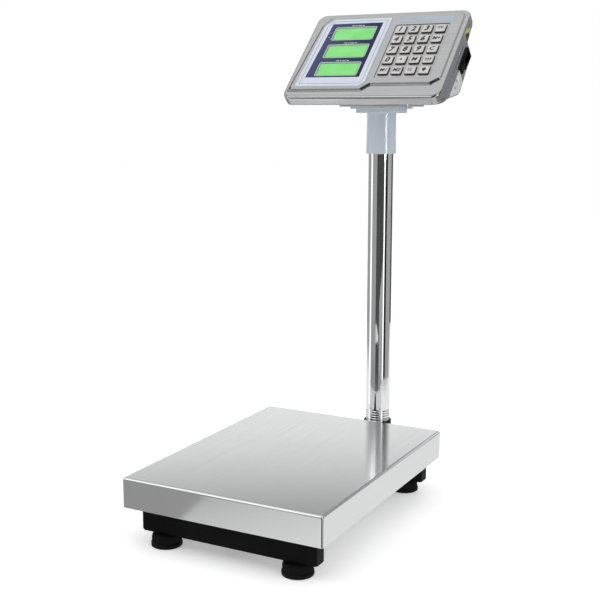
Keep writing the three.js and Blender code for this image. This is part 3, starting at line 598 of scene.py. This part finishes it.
def build_swivel():
    """The moulded sleeve under its stepped flange, its screw, and the head's bracket."""
    bm = bmesh.new()
    profile = [(20.05, 507.6), (20.6, 507.0), (22.9, 507.0)]
    profile += arc(0.8, -90, 0, 4, 22.9, 507.8)
    profile += [(23.6, 520), (23.25, 560)] + arc(1.2, 180, 90, 5, 24.45, 569.8)
    profile += [(20.05, 571.0), (20.05, 540)]
    lathe(bm, profile, 96, closed=True)
    rounded_slab(bm, 68, 53, 4, 570.9, 577.6, 0.8, steps=3, lower_edge=1.2)
    rounded_slab(bm, 84, 62, 4, 577.4, 580.5, 0.4, steps=2, lower_edge=0.9)
    piece("swivel_sleeve_look", bm, COLUMN, "head", [GREY],
          ("swivel_sleeve",))

    bm = bmesh.new()
    lathe(bm, [(0, 19.9), (2.5, 19.9), (2.5, 24.1), (4.8, 24.1)]
          + arc(1.2, 0, 80, 4, 3.6, 25.8) + [(2.2, 27.0), (2.2, 25.4), (0, 25.4)], 32)
    turn = (Matrix.Translation((0, 0, SLEEVE_SCREW_Z))
            @ Matrix.Rotation(math.radians(-90), 4, "X"))
    piece("sleeve_screw_look", bm, COLUMN @ turn, "head", [ZINC],
          ("sleeve_screw",))

    refined("head_bracket", "head", STEEL_BRACKET, 0.7)
    corners = [(x, y) for y in (-19.2, 19.2) for x in (-29.76, 29.76)]
    for k, (x, y) in enumerate(corners):
        screw(f"bracket_plate_screw_{k + 1}",
              COLUMN @ Matrix.Translation((x, y, BRACKET_TOP)), 2.9, "head")


def screw(name, matrix, radius, body, height=1.5):
    """A small pan-head screw with a cross recess, its seat at the matrix origin."""
    bm = bmesh.new()
    profile = [(0, -0.6), (radius * 0.8, -0.6), (radius, 0.05)]
    profile += [(radius * math.cos(a), height * math.sin(a))
                for a in (math.radians(90 * k / 6) for k in range(1, 6))]
    profile += [(0, height)]
    lathe(bm, profile, 24)
    for v in bm.verts:
        in_cross = min(abs(v.co.x), abs(v.co.y)) < radius * 0.14
        if v.co.z > height * 0.5 and v.co.xy.length < radius * 0.55 and in_cross:
            v.co.z -= height * 0.55
    piece(name, bm, matrix, body, [ZINC], (), 40)


# ------------------------------------------------------------------ head housing

PLATEAU = [(-105, 78), (-113, 66), (-121, -80), (0.4, -80), (13.4, -68), (111.4, -68),
           (123, -58.4), (123, 80), (117, 85), (-99, 85)]
PANEL = [(-96, 79), (-110, 65), (-114, -77), (-3, -77), (5, -68), (5, 79)]
BACK_LOW = (-22, -64)
BACK_HIGH = (45, -55)
KEYPAD = {"x": 62.5, "y": 0.3, "width": 91, "height": 121.5}
LCDS = [(-51.5, 44 - 41.2 * k) for k in range(3)]


def build_front_shell():
    """The drawn bezel, with the plateau pressed up from its face and two openings in it; painted
    shade darkens the plateau's crease and a painted dark reflection its left crest.
    """
    bm = bmesh.new()

    def bezel(d):
        return rounded_rectangle(266 - 2 * d, 195 - 2 * d, 16 - d, steps=10)

    edge, back, face = 4.6, -20.5, -4.0
    levels = [(bezel(0), back), (bezel(0), back + 2), (bezel(0), face - edge - 1)]
    levels += [(bezel(edge * (1 - math.cos(a))), face - edge * (1 - math.sin(a)))
               for a in (math.radians(90 * k / 7) for k in range(8))]
    levels += [(bezel(edge + 0.8), face)]
    _, rim = stack(bm, levels)

    def plateau(d):
        return filleted(inset(PLATEAU, -3.5 + d), 3.2, 4)

    steps = [(plateau(-1.6), face), (plateau(-1.0), face + 0.1), (plateau(-0.4), face + 0.45),
             (plateau(0.1), face + 1.0), (plateau(1.4), face + 2.7), (plateau(1.9), face + 3.35),
             (plateau(2.5), face + 3.8), (plateau(3.3), 0.0), (plateau(3.9), 0.0)]
    foot, crest = stack(bm, steps)
    # Painted shade: faces in the crease round the plateau's foot take the dark steel, and so do
    # the left crest faces as a painted dark reflection.
    for wall in bm.faces:
        x, y, z = wall.calc_center_median()
        painted_crease_shade = face + 0.02 < z < face + 0.7 and x < 118
        painted_crest_reflection = z > face + 2.9 and x < -101 and y < 84
        wall.material_index = int(painted_crease_shade or painted_crest_reflection)
    fill(bm, rim, [foot])

    def window(d):
        return filleted(inset(PANEL, -0.3 - d), 1.5, 3)

    def keys(d):
        return rounded_rectangle(KEYPAD["width"] + 2 * d, KEYPAD["height"] + 2 * d, 3 + d,
                                 KEYPAD["x"], KEYPAD["y"], 4)

    holes = []
    for outline in (window, keys):
        lip = [(outline(0.5), 0.0), (outline(0.15), -0.15), (outline(0), -0.5),
               (outline(0), -1.5)]
        rings = [ring(bm, shape, z) for shape, z in lip]
        for high, low in zip(rings, rings[1:]):
            bridge(bm, low, high)
        holes.append(rings[0])
    fill(bm, crest, holes)
    bmesh.ops.recalc_face_normals(bm, faces=bm.faces)
    thick = ("SOLIDIFY", {"thickness": SHEET / 1000, "offset": -1.0, "use_even_offset": True})
    piece("front_shell_look", bm, HEAD, "head",
          [STEEL_HEAD, STEEL_SHADE_AND_REFLECTION], ("front_shell",), 35, (thick,), orient=False)


def build_rear_shell():
    """The folded rear shell, with the plates, seals and screws on its back and right side."""
    refined("rear_shell", "head", STEEL_HEAD, 0.9, 3, 28)
    rise, run = BACK_HIGH[1] - BACK_LOW[1], BACK_HIGH[0] - BACK_LOW[0]
    lean = math.atan2(rise, run)
    middle = ((BACK_LOW[0] + BACK_HIGH[0]) / 2, (BACK_LOW[1] + BACK_HIGH[1]) / 2)
    on_back = (HEAD @ Matrix.Translation((0, *middle)) @ Matrix.Rotation(lean, 4, "X")
               @ Matrix.Rotation(math.pi, 4, "Y"))
    bm = bmesh.new()
    rounded_slab(bm, 70, 34, 2, -0.02, 0.25, 0.08, -40, 2, 0, 1)
    piece("rating_plate_blank", bm, on_back, "head", [FILM_PALE])
    for k, (x, y) in enumerate(((-120, -26), (-120, 26), (120, -26), (120, 26))):
        screw(f"back_screw_{k + 1}", on_back @ Matrix.Translation((x, y, 0)), 2.6, "head", 1.3)
    on_side = Matrix.Rotation(math.radians(90), 4, "Y")
    for k, (x, v, n) in enumerate(((133, 8.1, -15.5), (132.6, -27.6, -38), (132.6, -37, -44))):
        screw(f"side_screw_{k + 1}", HEAD @ Matrix.Translation((x, v, n)) @ on_side, 2.2, "head",
              1.1)
    side_sheet("side_plate", [(-8, -60), (-6, -49), (-6, -36), (-65, -36), (-35, -58.4),
                              (-22.5, -61.8)], 132, 132.6, 0.2, STEEL_SIDE)
    side_sheet("seal_front", [(43, -20.2), (43, -9), (56, -8.6), (72, -20.2)], 133, 133.2, 0.05,
               YELLOW)
    side_sheet("seal_rear", [(46, -28.5), (43, -21.2), (72, -21.2), (66, -26.6)], 132, 132.2,
               0.05, YELLOW)
    side_sheet("seal_bar", [(46, -20.2), (44.5, -12), (50, -13), (61, -20.2)], 133.15, 133.28,
               0.04, LEGEND)
    side_sheet("seal_bar_rear", [(48, -27.6), (46, -21.4), (61, -21.4), (64, -26)], 132.15,
               132.28, 0.04, LEGEND)


def side_sheet(name, outline, x0, x1, edge, material):
    """A thin sheet on the head's right side. Its outline is made of (v, n) pairs."""
    to_side = Matrix(((0, 0, 1, 0), (1, 0, 0, 0), (0, 1, 0, 0), (0, 0, 0, 1)))
    bm = bmesh.new()
    slab(bm, lambda d: filleted(inset(anticlockwise(outline), d), 1.5, 3), x0, x1, edge, steps=1)
    piece(name, bm, HEAD @ to_side, "head", [material])


def display_regions(bm):
    """The printed film: silver border, line, blue field and pale rims round the openings."""
    top = 0.1
    outer = ring(bm, filleted(PANEL, 1.5, 3), top)
    line_out = ring(bm, filleted(inset(PANEL, 5.2), 1.5, 3), top)
    line_in = ring(bm, filleted(inset(PANEL, 6.0), 1.5, 3), top)
    blue_shape = [(-96.5, 68), (-102.5, -57.5), (-8.5, -57.5), (-7.5, 68)]
    blue = ring(bm, filleted(blue_shape, 0.8, 2), top)
    fill(bm, outer, [line_out], 0)
    fill(bm, line_out, [line_in], 1)
    fill(bm, line_in, [blue], 0)
    rims, openings = [], []
    for x, y in LCDS:
        rims.append(ring(bm, rounded_rectangle(73.6, 31.6, 3.4, x, y), top))
        openings.append(ring(bm, rounded_rectangle(71, 29, 1.4, x, y), top))
    fill(bm, blue, rims, 2)
    for rim, opening in zip(rims, openings):
        fill(bm, rim, [opening], 3)
    low_outer = ring(bm, filleted(PANEL, 1.5, 3), -SHEET)
    low_openings = [ring(bm, rounded_rectangle(71, 29, 1.4, x, y), -SHEET) for x, y in LCDS]
    bridge(bm, low_outer, outer, 0)
    for low, high in zip(low_openings, openings):
        bridge(bm, high, low, 3)
    fill(bm, low_outer, low_openings, 0, False)


def build_display():
    """The window film, the three displays behind it, and plain marks for the captions."""
    bm = bmesh.new()
    display_regions(bm)
    piece("display_film_look", bm, HEAD, "head",
          [FILM, FILM_LINE, FILM_BLUE, LCD_RIM], ("display_panel",), orient=False)

    for name, (x, y) in zip(("weight", "unit_price", "total_price"), LCDS):
        bm = bmesh.new()
        rounded_slab(bm, 70.4, 28.4, 1.2, -9.5, -1.5, 0.2, x, y, 1)
        rounded_slab(bm, 67.6, 25.6, 1.0, -1.7, -0.9, 0.3, x, y, 0)
        piece(f"lcd_{name}_look", bm, HEAD, "head", [LCD, LCD_RIM],
              (f"lcd_{name}",))

    bm = bmesh.new()
    for x, y in LCDS:
        start = x - 9.5
        for length in (5.5, 3.0, 6.5, 4.0):
            rounded_slab(bm, length, 1.3, 0.4, 0.09, 0.16, 0.02, start + length / 2, y + 18.4,
                         0, 1)
            start += length + 1.2
    for y in (46, 36):
        rounded_slab(bm, 2.2, 1.0, 0.3, 0.09, 0.16, 0.02, -93.3, y, 0, 1)
    piece("display_marks", bm, HEAD, "head", [FILM_PALE])

    bm = bmesh.new()
    rounded_slab(bm, 93, 12.5, 1.0, -0.02, 0.12, 0.04, 64, 71.8, 0, 1)
    piece("name_strip_blank", bm, HEAD, "head", [STRIP])


# ------------------------------------------------------------------ keypad

KEY_NAMES = [
    ["key_1", "key_2", "key_3", "key_tare"],
    ["key_4", "key_5", "key_6", "key_add"],
    ["key_7", "key_8", "key_9", "key_clear"],
    ["key_0", "key_point", "key_memory", "key_zero"],
    ["key_preset_1", "key_preset_2", "key_total", "key_light"],
]
LEGENDS = {
    "key_add": "M+", "key_clear": "C", "key_memory": "M", "key_preset_1": "M1",
    "key_preset_2": "M2",
}
KEY_SIZE = 17.0
KEY_FIRST = (29, 48.5)
KEY_PITCH = (22.2, 23.3)


def key_places():
    """Each key's name with the middle of its cap."""
    for row, names in enumerate(KEY_NAMES):
        for column, name in enumerate(names):
            yield (name, KEY_FIRST[0] + KEY_PITCH[0] * column,
                   KEY_FIRST[1] - KEY_PITCH[1] * row)


def legend(bm, text, size, z, material):
    """Adds slanted lettering, centred, as a thin raised solid."""
    curve = bpy.data.curves.new("legend", "FONT")
    curve.body = text
    curve.size = size
    curve.shear = 0.22
    curve.offset = 0.042 * size if text.isdigit() else 0.03 * size
    curve.extrude = 0.05
    curve.align_x = "CENTER"
    curve.resolution_u = 3
    holder = bpy.data.objects.new("legend", curve)
    bpy.context.scene.collection.objects.link(holder)
    bpy.context.view_layer.update()
    mesh = bpy.data.meshes.new_from_object(holder.evaluated_get(
        bpy.context.evaluated_depsgraph_get()))
    bpy.data.objects.remove(holder)
    fresh = bmesh.new()
    fresh.from_mesh(mesh)
    bmesh.ops.remove_doubles(fresh, verts=fresh.verts, dist=1e-5)
    xs = [v.co.x for v in fresh.verts]
    ys = [v.co.y for v in fresh.verts]
    centre = Vector(((min(xs) + max(xs)) / 2, (min(ys) + max(ys)) / 2, -z))
    for v in fresh.verts:
        v.co -= centre
    fresh.to_mesh(mesh)
    fresh.free()
    count = len(bm.faces)
    bm.from_mesh(mesh)
    bm.faces.ensure_lookup_table()
    for face in bm.faces[count:]:
        face.material_index = material
    bpy.data.meshes.remove(mesh)


def bar(bm, x, y, width, height, z, material):
    rounded_slab(bm, width, height, min(width, height) * 0.3, z - 0.04, z + 0.06, 0.02, x, y,
                 material, 1)


def key_mark(bm, name, z, material):
    """What is printed on a key: a digit, a letter, or a plain symbol."""
    digit = name.split("_")[1]
    if digit.isdigit() and len(name) == 5:
        legend(bm, digit, 14.0, z, material)
    elif name in LEGENDS:
        legend(bm, LEGENDS[name], 9.6 if len(LEGENDS[name]) > 1 else 11.5, z, material)
    elif name == "key_point":
        rounded_slab(bm, 3.6, 3.6, 1.8, z - 0.04, z + 0.06, 0.02, 0, 0, material, 1)
    elif name == "key_light":
        rounded_slab(bm, 6.4, 6.4, 3.2, z - 0.04, z + 0.06, 0.02, 0, 0.4, material, 1)
        rounded_slab(bm, 2.4, 2.0, 0.4, z - 0.04, z + 0.06, 0.02, 0, -3.4, material, 1)
    elif name == "key_zero":
        for x in (-3.6, 0, 3.6):
            rounded_slab(bm, 2.4, 3.6, 1.0, z - 0.04, z + 0.06, 0.02, x, 0, material, 1)
        bar(bm, 0, -3.6, 9.6, 0.9, z, material)
    elif name == "key_tare":
        for x in (-3.9, -1.3, 1.3, 3.9):
            bar(bm, x, 0, 1.1, 4.0, z, material)
        bar(bm, 0, 2.6, 9.0, 0.9, z, material)
    elif name == "key_total":
        bar(bm, 0, 2.4, 8.4, 0.9, z, material)
        bar(bm, -1.0, 0, 6.4, 0.9, z, material)
        bar(bm, 0, -2.4, 8.4, 0.9, z, material)


def build_keypad():
    """The plate with an opening for each key, then the keys."""
    bm = bmesh.new()
    top, low = -1.0, -2.2
    width, height = KEYPAD["width"] - 0.6, KEYPAD["height"] - 0.6
    outer_low, outer = stack(bm, [
        (rounded_rectangle(width, height, 2.7, KEYPAD["x"], KEYPAD["y"], 4), low),
        (rounded_rectangle(width, height, 2.7, KEYPAD["x"], KEYPAD["y"], 4), top - 0.2),
        (rounded_rectangle(width - 0.4, height - 0.4, 2.5, KEYPAD["x"], KEYPAD["y"], 4), top),
    ])
    holes, low_holes = [], []
    for _, x, y in key_places():
        shape = rounded_rectangle(KEY_SIZE + 0.6, KEY_SIZE + 0.6, 1.2, x, y, 3)
        holes.append(ring(bm, shape, top))
        low_holes.append(ring(bm, shape, low))
        bridge(bm, holes[-1], low_holes[-1])
    fill(bm, outer, holes)
    fill(bm, outer_low, low_holes, 0, False)
    piece("keypad_plate_look", bm, HEAD, "head", [KEY_PLATE], ("keypad_plate",),
          orient=False)

    for name, x, y in key_places():
        build_key(name, Matrix.Translation((x, y, 0)))


def build_key(name, place):
    """A metal cap whose sides carry painted shade, its short stem, and what is printed on it."""
    def cap(d):
        return rounded_rectangle(KEY_SIZE - 2 * d, KEY_SIZE - 2 * d, 2.1 - d * 0.5, steps=4)

    bm = bmesh.new()
    first, shoulder = stack(bm, [(cap(0), -3.4), (cap(0), 0.2), (cap(0.1), 0.7)], 1)
    crown = ((0.45, 1.3), (0.9, 1.8), (1.4, 2.1), (1.9, 2.2), (2.4, 2.2))
    rings = [ring(bm, cap(d), z) for d, z in crown]
    bridge(bm, shoulder, rings[0], 1)
    for low, high in zip(rings, rings[1:]):
        bridge(bm, low, high)
    fill(bm, rings[-1])
    fill(bm, first, (), 1, False)
    rounded_slab(bm, 6, 6, 0.6, -6, -3.3, 0.2, material=1)
    key_mark(bm, name, 2.24, 2)
    piece(name + "_look", bm, HEAD @ place, name, [KEY_CAP, KEY_SIDE_SHADE, LEGEND],
          (name,), orient=False)


# ------------------------------------------------------------------ electronics and mains

def build_electronics():
    refined("main_board", "head", BOARD, 0.2, 1)
    bm = bmesh.new()
    for x, y, width, depth, height in ((-60, 55, 16, 16, 2.2), (-20, 60, 12, 20, 2.4),
                                       (30, -66, 26, 8, 6), (70, -66, 18, 8, 6),
                                       (-90, 66, 10, 6, 5), (10, 68, 8, 8, 3)):
        rounded_slab(bm, width, depth, 0.8, -11.7 - height, -11.65, 0.2, x, y, lower_edge=0.4)
    piece("board_parts", bm, HEAD, "head", [CHIP])
    refined("battery", "head", BATTERY, 1.2, 3)


def build_mains():
    refined("power_inlet", "head", BLACK, 0.8, 2)
    refined("power_rocker", "power_switch", BLACK, 0.5, 2)


# ------------------------------------------------------------------ stage, light and camera

CAMERA_AZIMUTH = 27.91
CAMERA_ELEVATION = 10.16
CAMERA_AT = (708.26, -1312.55, 583.47)


def build_world(scene):
    """A pale studio with a darker band low on its walls."""
    world = bpy.data.worlds.new("studio")
    scene.world = world
    world.use_nodes = True
    tree = world.node_tree
    tree.nodes.clear()
    sky = node(tree, "ShaderNodeTexCoord")
    split = node(tree, "ShaderNodeSeparateXYZ", Vector=sky.outputs["Generated"])
    band = node(tree, "ShaderNodeValToRGB", Fac=split.outputs["Z"])
    stops = band.color_ramp.elements
    stops[0].position, stops[0].color = 0.0, (1, 1, 1, 1)
    stops[1].position, stops[1].color = 1.0, (1, 1, 1, 1)
    for position, value in ((0.3, 1.0), (0.37, 0.3), (0.5, 0.25), (0.8, 0.95)):
        stops.new(position).color = (value, value, value, 1)
    back = node(tree, "ShaderNodeBackground", Color=band.outputs["Color"], Strength=1.0)
    node(tree, "ShaderNodeOutputWorld", Surface=back.outputs["Background"])


def build_floor(scene):
    bm = bmesh.new()
    bmesh.ops.create_circle(bm, cap_ends=True, segments=96, radius=9.0)
    mesh = bpy.data.meshes.new("floor")
    bm.to_mesh(mesh)
    bm.free()
    floor = bpy.data.objects.new("floor", mesh)
    scene.collection.objects.link(floor)
    material, tree, surface = shader("floor_white")
    cloud = noise(tree, placed(tree), 3.0, 2.0)
    tree.links.new(ramp(tree, cloud, (0.93, 0.93, 0.93), (0.95, 0.95, 0.95)),
                   surface.inputs["Base Color"])
    surface.inputs["Roughness"].default_value = 0.9
    surface.inputs["Specular IOR Level"].default_value = 0.0
    surface.inputs["Emission Color"].default_value = (1, 1, 1, 1)
    surface.inputs["Emission Strength"].default_value = 0.3
    mesh.materials.append(material)


def softbox(scene, name, at, size, power):
    """A soft light facing the scale, which does not show in reflections."""
    light = bpy.data.lights.new(name, "AREA")
    light.shape = "RECTANGLE"
    light.size, light.size_y = size
    light.energy = power
    made = bpy.data.objects.new(name, light)
    made.location = at
    made.rotation_mode = "QUATERNION"
    made.rotation_quaternion = (Vector((0, 0, 0.35)) - Vector(at)).to_track_quat("-Z", "Y")
    made.visible_glossy = False
    scene.collection.objects.link(made)


def glowing_card(name):
    """A studio card's material: it only gives off its own colour."""
    material, tree, surface = shader(name)
    surface.inputs["Base Color"].default_value = (0, 0, 0, 1)
    surface.inputs["Roughness"].default_value = 1.0
    surface.inputs["Specular IOR Level"].default_value = 0.0
    surface.inputs["Emission Strength"].default_value = 1.0
    return material, tree, surface


def reflected_only(name, bm, at, colour):
    """Adds a card that shows only in the steel and the chrome."""
    material, tree, surface = glowing_card(name)
    surface.inputs["Emission Color"].default_value = (*colour, 1)
    mesh = bpy.data.meshes.new(name)
    bm.to_mesh(mesh)
    bm.free()
    mesh.materials.append(material)
    made = bpy.data.objects.new(name, mesh)
    made.location = at
    bpy.context.scene.collection.objects.link(made)
    made.visible_camera = False
    made.visible_diffuse = False
    made.visible_shadow = False
    return tree, surface


def curved_card(name, rows, colour):
    """A curved card round the column. Each row is (radius, height, start, end), with its two
    angles measured from the camera's side."""
    bm = bmesh.new()
    steps = max(2, round(abs(rows[0][3] - rows[0][2]) / 5))
    lines = []
    for radius, z, start, end in rows:
        angles = [math.radians(CAMERA_AZIMUTH + start + (end - start) * k / steps)
                  for k in range(steps + 1)]
        lines.append([bm.verts.new((radius * math.sin(a), -radius * math.cos(a), z))
                      for a in angles])
    for low, high in zip(lines, lines[1:]):
        for k in range(steps):
            bm.faces.new((low[k], low[k + 1], high[k + 1], high[k]))
    column = COLUMN.to_translation()
    reflected_only(name, bm, (column.x, column.y, 0), colour)


def upright(radius, low, high, start, end):
    """Rows of a standing card."""
    return [(radius, low, start, end), (radius, high, start, end)]


def near(start, end, inner=0.56, top=0.33):
    """Rows of a low card that stands up one metre away."""
    return [(inner, 0.002, start, end), *upright(1.0, 0.002, top, start, end)]


def far(start, end):
    """Rows of a card that lies on the floor, then stands up three metres away."""
    return [(1.15, 0.003, start, end), *upright(3.0, 0.003, 0.45, start, end)]


def upper(start, end):
    """Rows of a card over the far ones, which the column shows by way of the pan."""
    return upright(2.0, 0.5, 1.8, start, end)


def grey(value):
    return (value, value, value)


CARDS = {
    "far_left_rear": (far(-172, -101), grey(0.36)),
    "far_left_strip": (far(-101, -84), grey(1.5)),
    "far_left": (far(-84, -37), grey(0.36)),
    "far_front": ([(1.15, 0.003, -37, -2), (1.7, 0.003, -37, 4), (2.5, 0.003, -37, 29),
                   *upright(3.0, 0.003, 0.45, -37, 30)], grey(0.06)),
    "far_middle": ([(1.15, 0.002, -2, 31), (3.0, 0.002, 0, 31)], grey(0.4)),
    "far_white": (far(31, 43), grey(1.5)),
    "far_edge": (far(42, 66), grey(0.012)),
    "far_right": (far(66, 116), grey(0.42)),
    "far_right_line": (far(116, 146), grey(0.06)),
    "far_right_rear": (far(146, 176), grey(0.36)),
    "near_left_strip": (near(-101, -84, 0.35), grey(1.5)),
    "near_left": (near(-84, -40, 0.35), grey(0.36)),
    "near_front": ([(0.56, 0.002, -9, -2), (1.0, 0.002, -9, -2), (1.0, 0.06, -33, -2),
                    (1.0, 0.33, -36, -2)], grey(0.075)),
    "near_middle": (near(-2, 31, top=0.1), grey(0.4)),
    "near_white": (near(31, 42), grey(1.5)),
    "near_edge": (near(42, 62), grey(0.012)),
    "near_right": (near(62, 112), grey(0.36)),
    "upper_left": (upper(-100, -37), grey(0.45)),
    "upper_front": (upper(-37, 31), grey(0.33)),
    "upper_white": (upper(31, 43), grey(1.5)),
    "upper_edge": (upper(43, 80), grey(0.08)),
    "upper_right": (upper(80, 116), grey(0.36)),
    "sky_card": (upright(3.2, 0.5, 2.6, -145, 145), grey(0.78)),
    "sleeve_strip": (upright(0.6, 0.47, 0.575, 32, 40), grey(14)),
    "high_front": (upright(0.5, 0.54, 0.74, -16, 24), (0.01, 0.01, 0.03)),
    "high_side": (upright(0.9, 0.52, 1.0, 95, 160), (0.32, 0.335, 0.365)),
}


def build_floor_card():
    """A disc just over the floor, darker near the front left of the pan and at the sides."""
    bm = bmesh.new()
    bmesh.ops.create_circle(bm, cap_ends=True, segments=64, radius=3.5)
    tree, surface = reflected_only("floor_card", bm, (0, 0, 0.0015), (1, 1, 1))
    where = node(tree, "ShaderNodeTexCoord").outputs["Object"]
    across = node(tree, "ShaderNodeSeparateXYZ", Vector=where)
    sides = node(tree, "ShaderNodeValToRGB",
                 Fac=spread(tree, across.outputs["X"], 0, 1, -1.0, 1.0))
    stops = sides.color_ramp.elements
    stops[0].position, stops[0].color = 0.05, (0.45, 0.45, 0.45, 1)
    stops[1].position, stops[1].color = 0.8, (0.5, 0.5, 0.5, 1)
    for position in (0.22, 0.7):
        stops.new(position).color = (1, 1, 1, 1)
    away = node(tree, "ShaderNodeVectorMath", {"operation": "DISTANCE"})
    tree.links.new(where, away.inputs[0])
    away.inputs[1].default_value = (-0.6, -0.75, 0)
    product = node(tree, "ShaderNodeMath", {"operation": "MULTIPLY"})
    tree.links.new(spread(tree, away.outputs["Value"], 0.26, 0.9, 0.25, 0.8), product.inputs[0])
    tree.links.new(sides.outputs["Color"], product.inputs[1])
    tree.links.new(product.outputs[0], surface.inputs["Emission Strength"])


def flat_card(name, at, target, width, height, colour):
    """A flat card facing a point."""
    turn = (Vector(target) - Vector(at)).to_track_quat("Z", "Y").to_matrix().to_4x4()
    bm = bmesh.new()
    bm.faces.new([bm.verts.new(turn @ Vector((x * width / 2, y * height / 2, 0)))
                  for x, y in ((-1, -1), (1, -1), (1, 1), (-1, 1))])
    reflected_only(name, bm, at, colour)


def build_camera(scene):
    camera = bpy.data.cameras.new("camera")
    camera.lens = 65.3
    camera.sensor_width = 36.0
    made = bpy.data.objects.new("camera", camera)
    azimuth, elevation = math.radians(CAMERA_AZIMUTH), math.radians(CAMERA_ELEVATION)
    back = Vector((math.sin(azimuth) * math.cos(elevation),
                   -math.cos(azimuth) * math.cos(elevation), math.sin(elevation)))
    made.location = PLATFORM @ Vector(CAMERA_AT)
    made.rotation_mode = "QUATERNION"
    made.rotation_quaternion = (-back).to_track_quat("-Z", "Y")
    scene.collection.objects.link(made)
    scene.camera = made


def build_stage():
    scene = bpy.context.scene
    scene.view_settings.view_transform = "Standard"
    scene.view_settings.look = "None"
    build_world(scene)
    build_floor(scene)
    softbox(scene, "key_light", (-1.6, -1.5, 2.6), (1.6, 1.6), 17)
    softbox(scene, "fill_light", (2.2, -0.6, 1.8), (1.4, 1.4), 14)
    softbox(scene, "rear_light", (0.2, 2.4, 2.2), (2.0, 1.0), 9)
    for name, (rows, colour) in CARDS.items():
        curved_card(name, rows, colour)
    build_floor_card()
    flat_card("panel_front_edge", (-0.46, -1.0, 0.86), (0, -0.25, 0.1), 1.5, 0.5, grey(1.7))
    flat_card("panel_rear_edge", (0.42, 1.6, 0.86), (0.15, 0, 0.1), 0.8, 0.35, grey(2.5))
    build_camera(scene)


build_pan()
build_base()
build_platform()
build_column()
build_swivel()
build_front_shell()
build_rear_shell()
build_display()
build_keypad()
build_electronics()
build_mains()
build_stage()
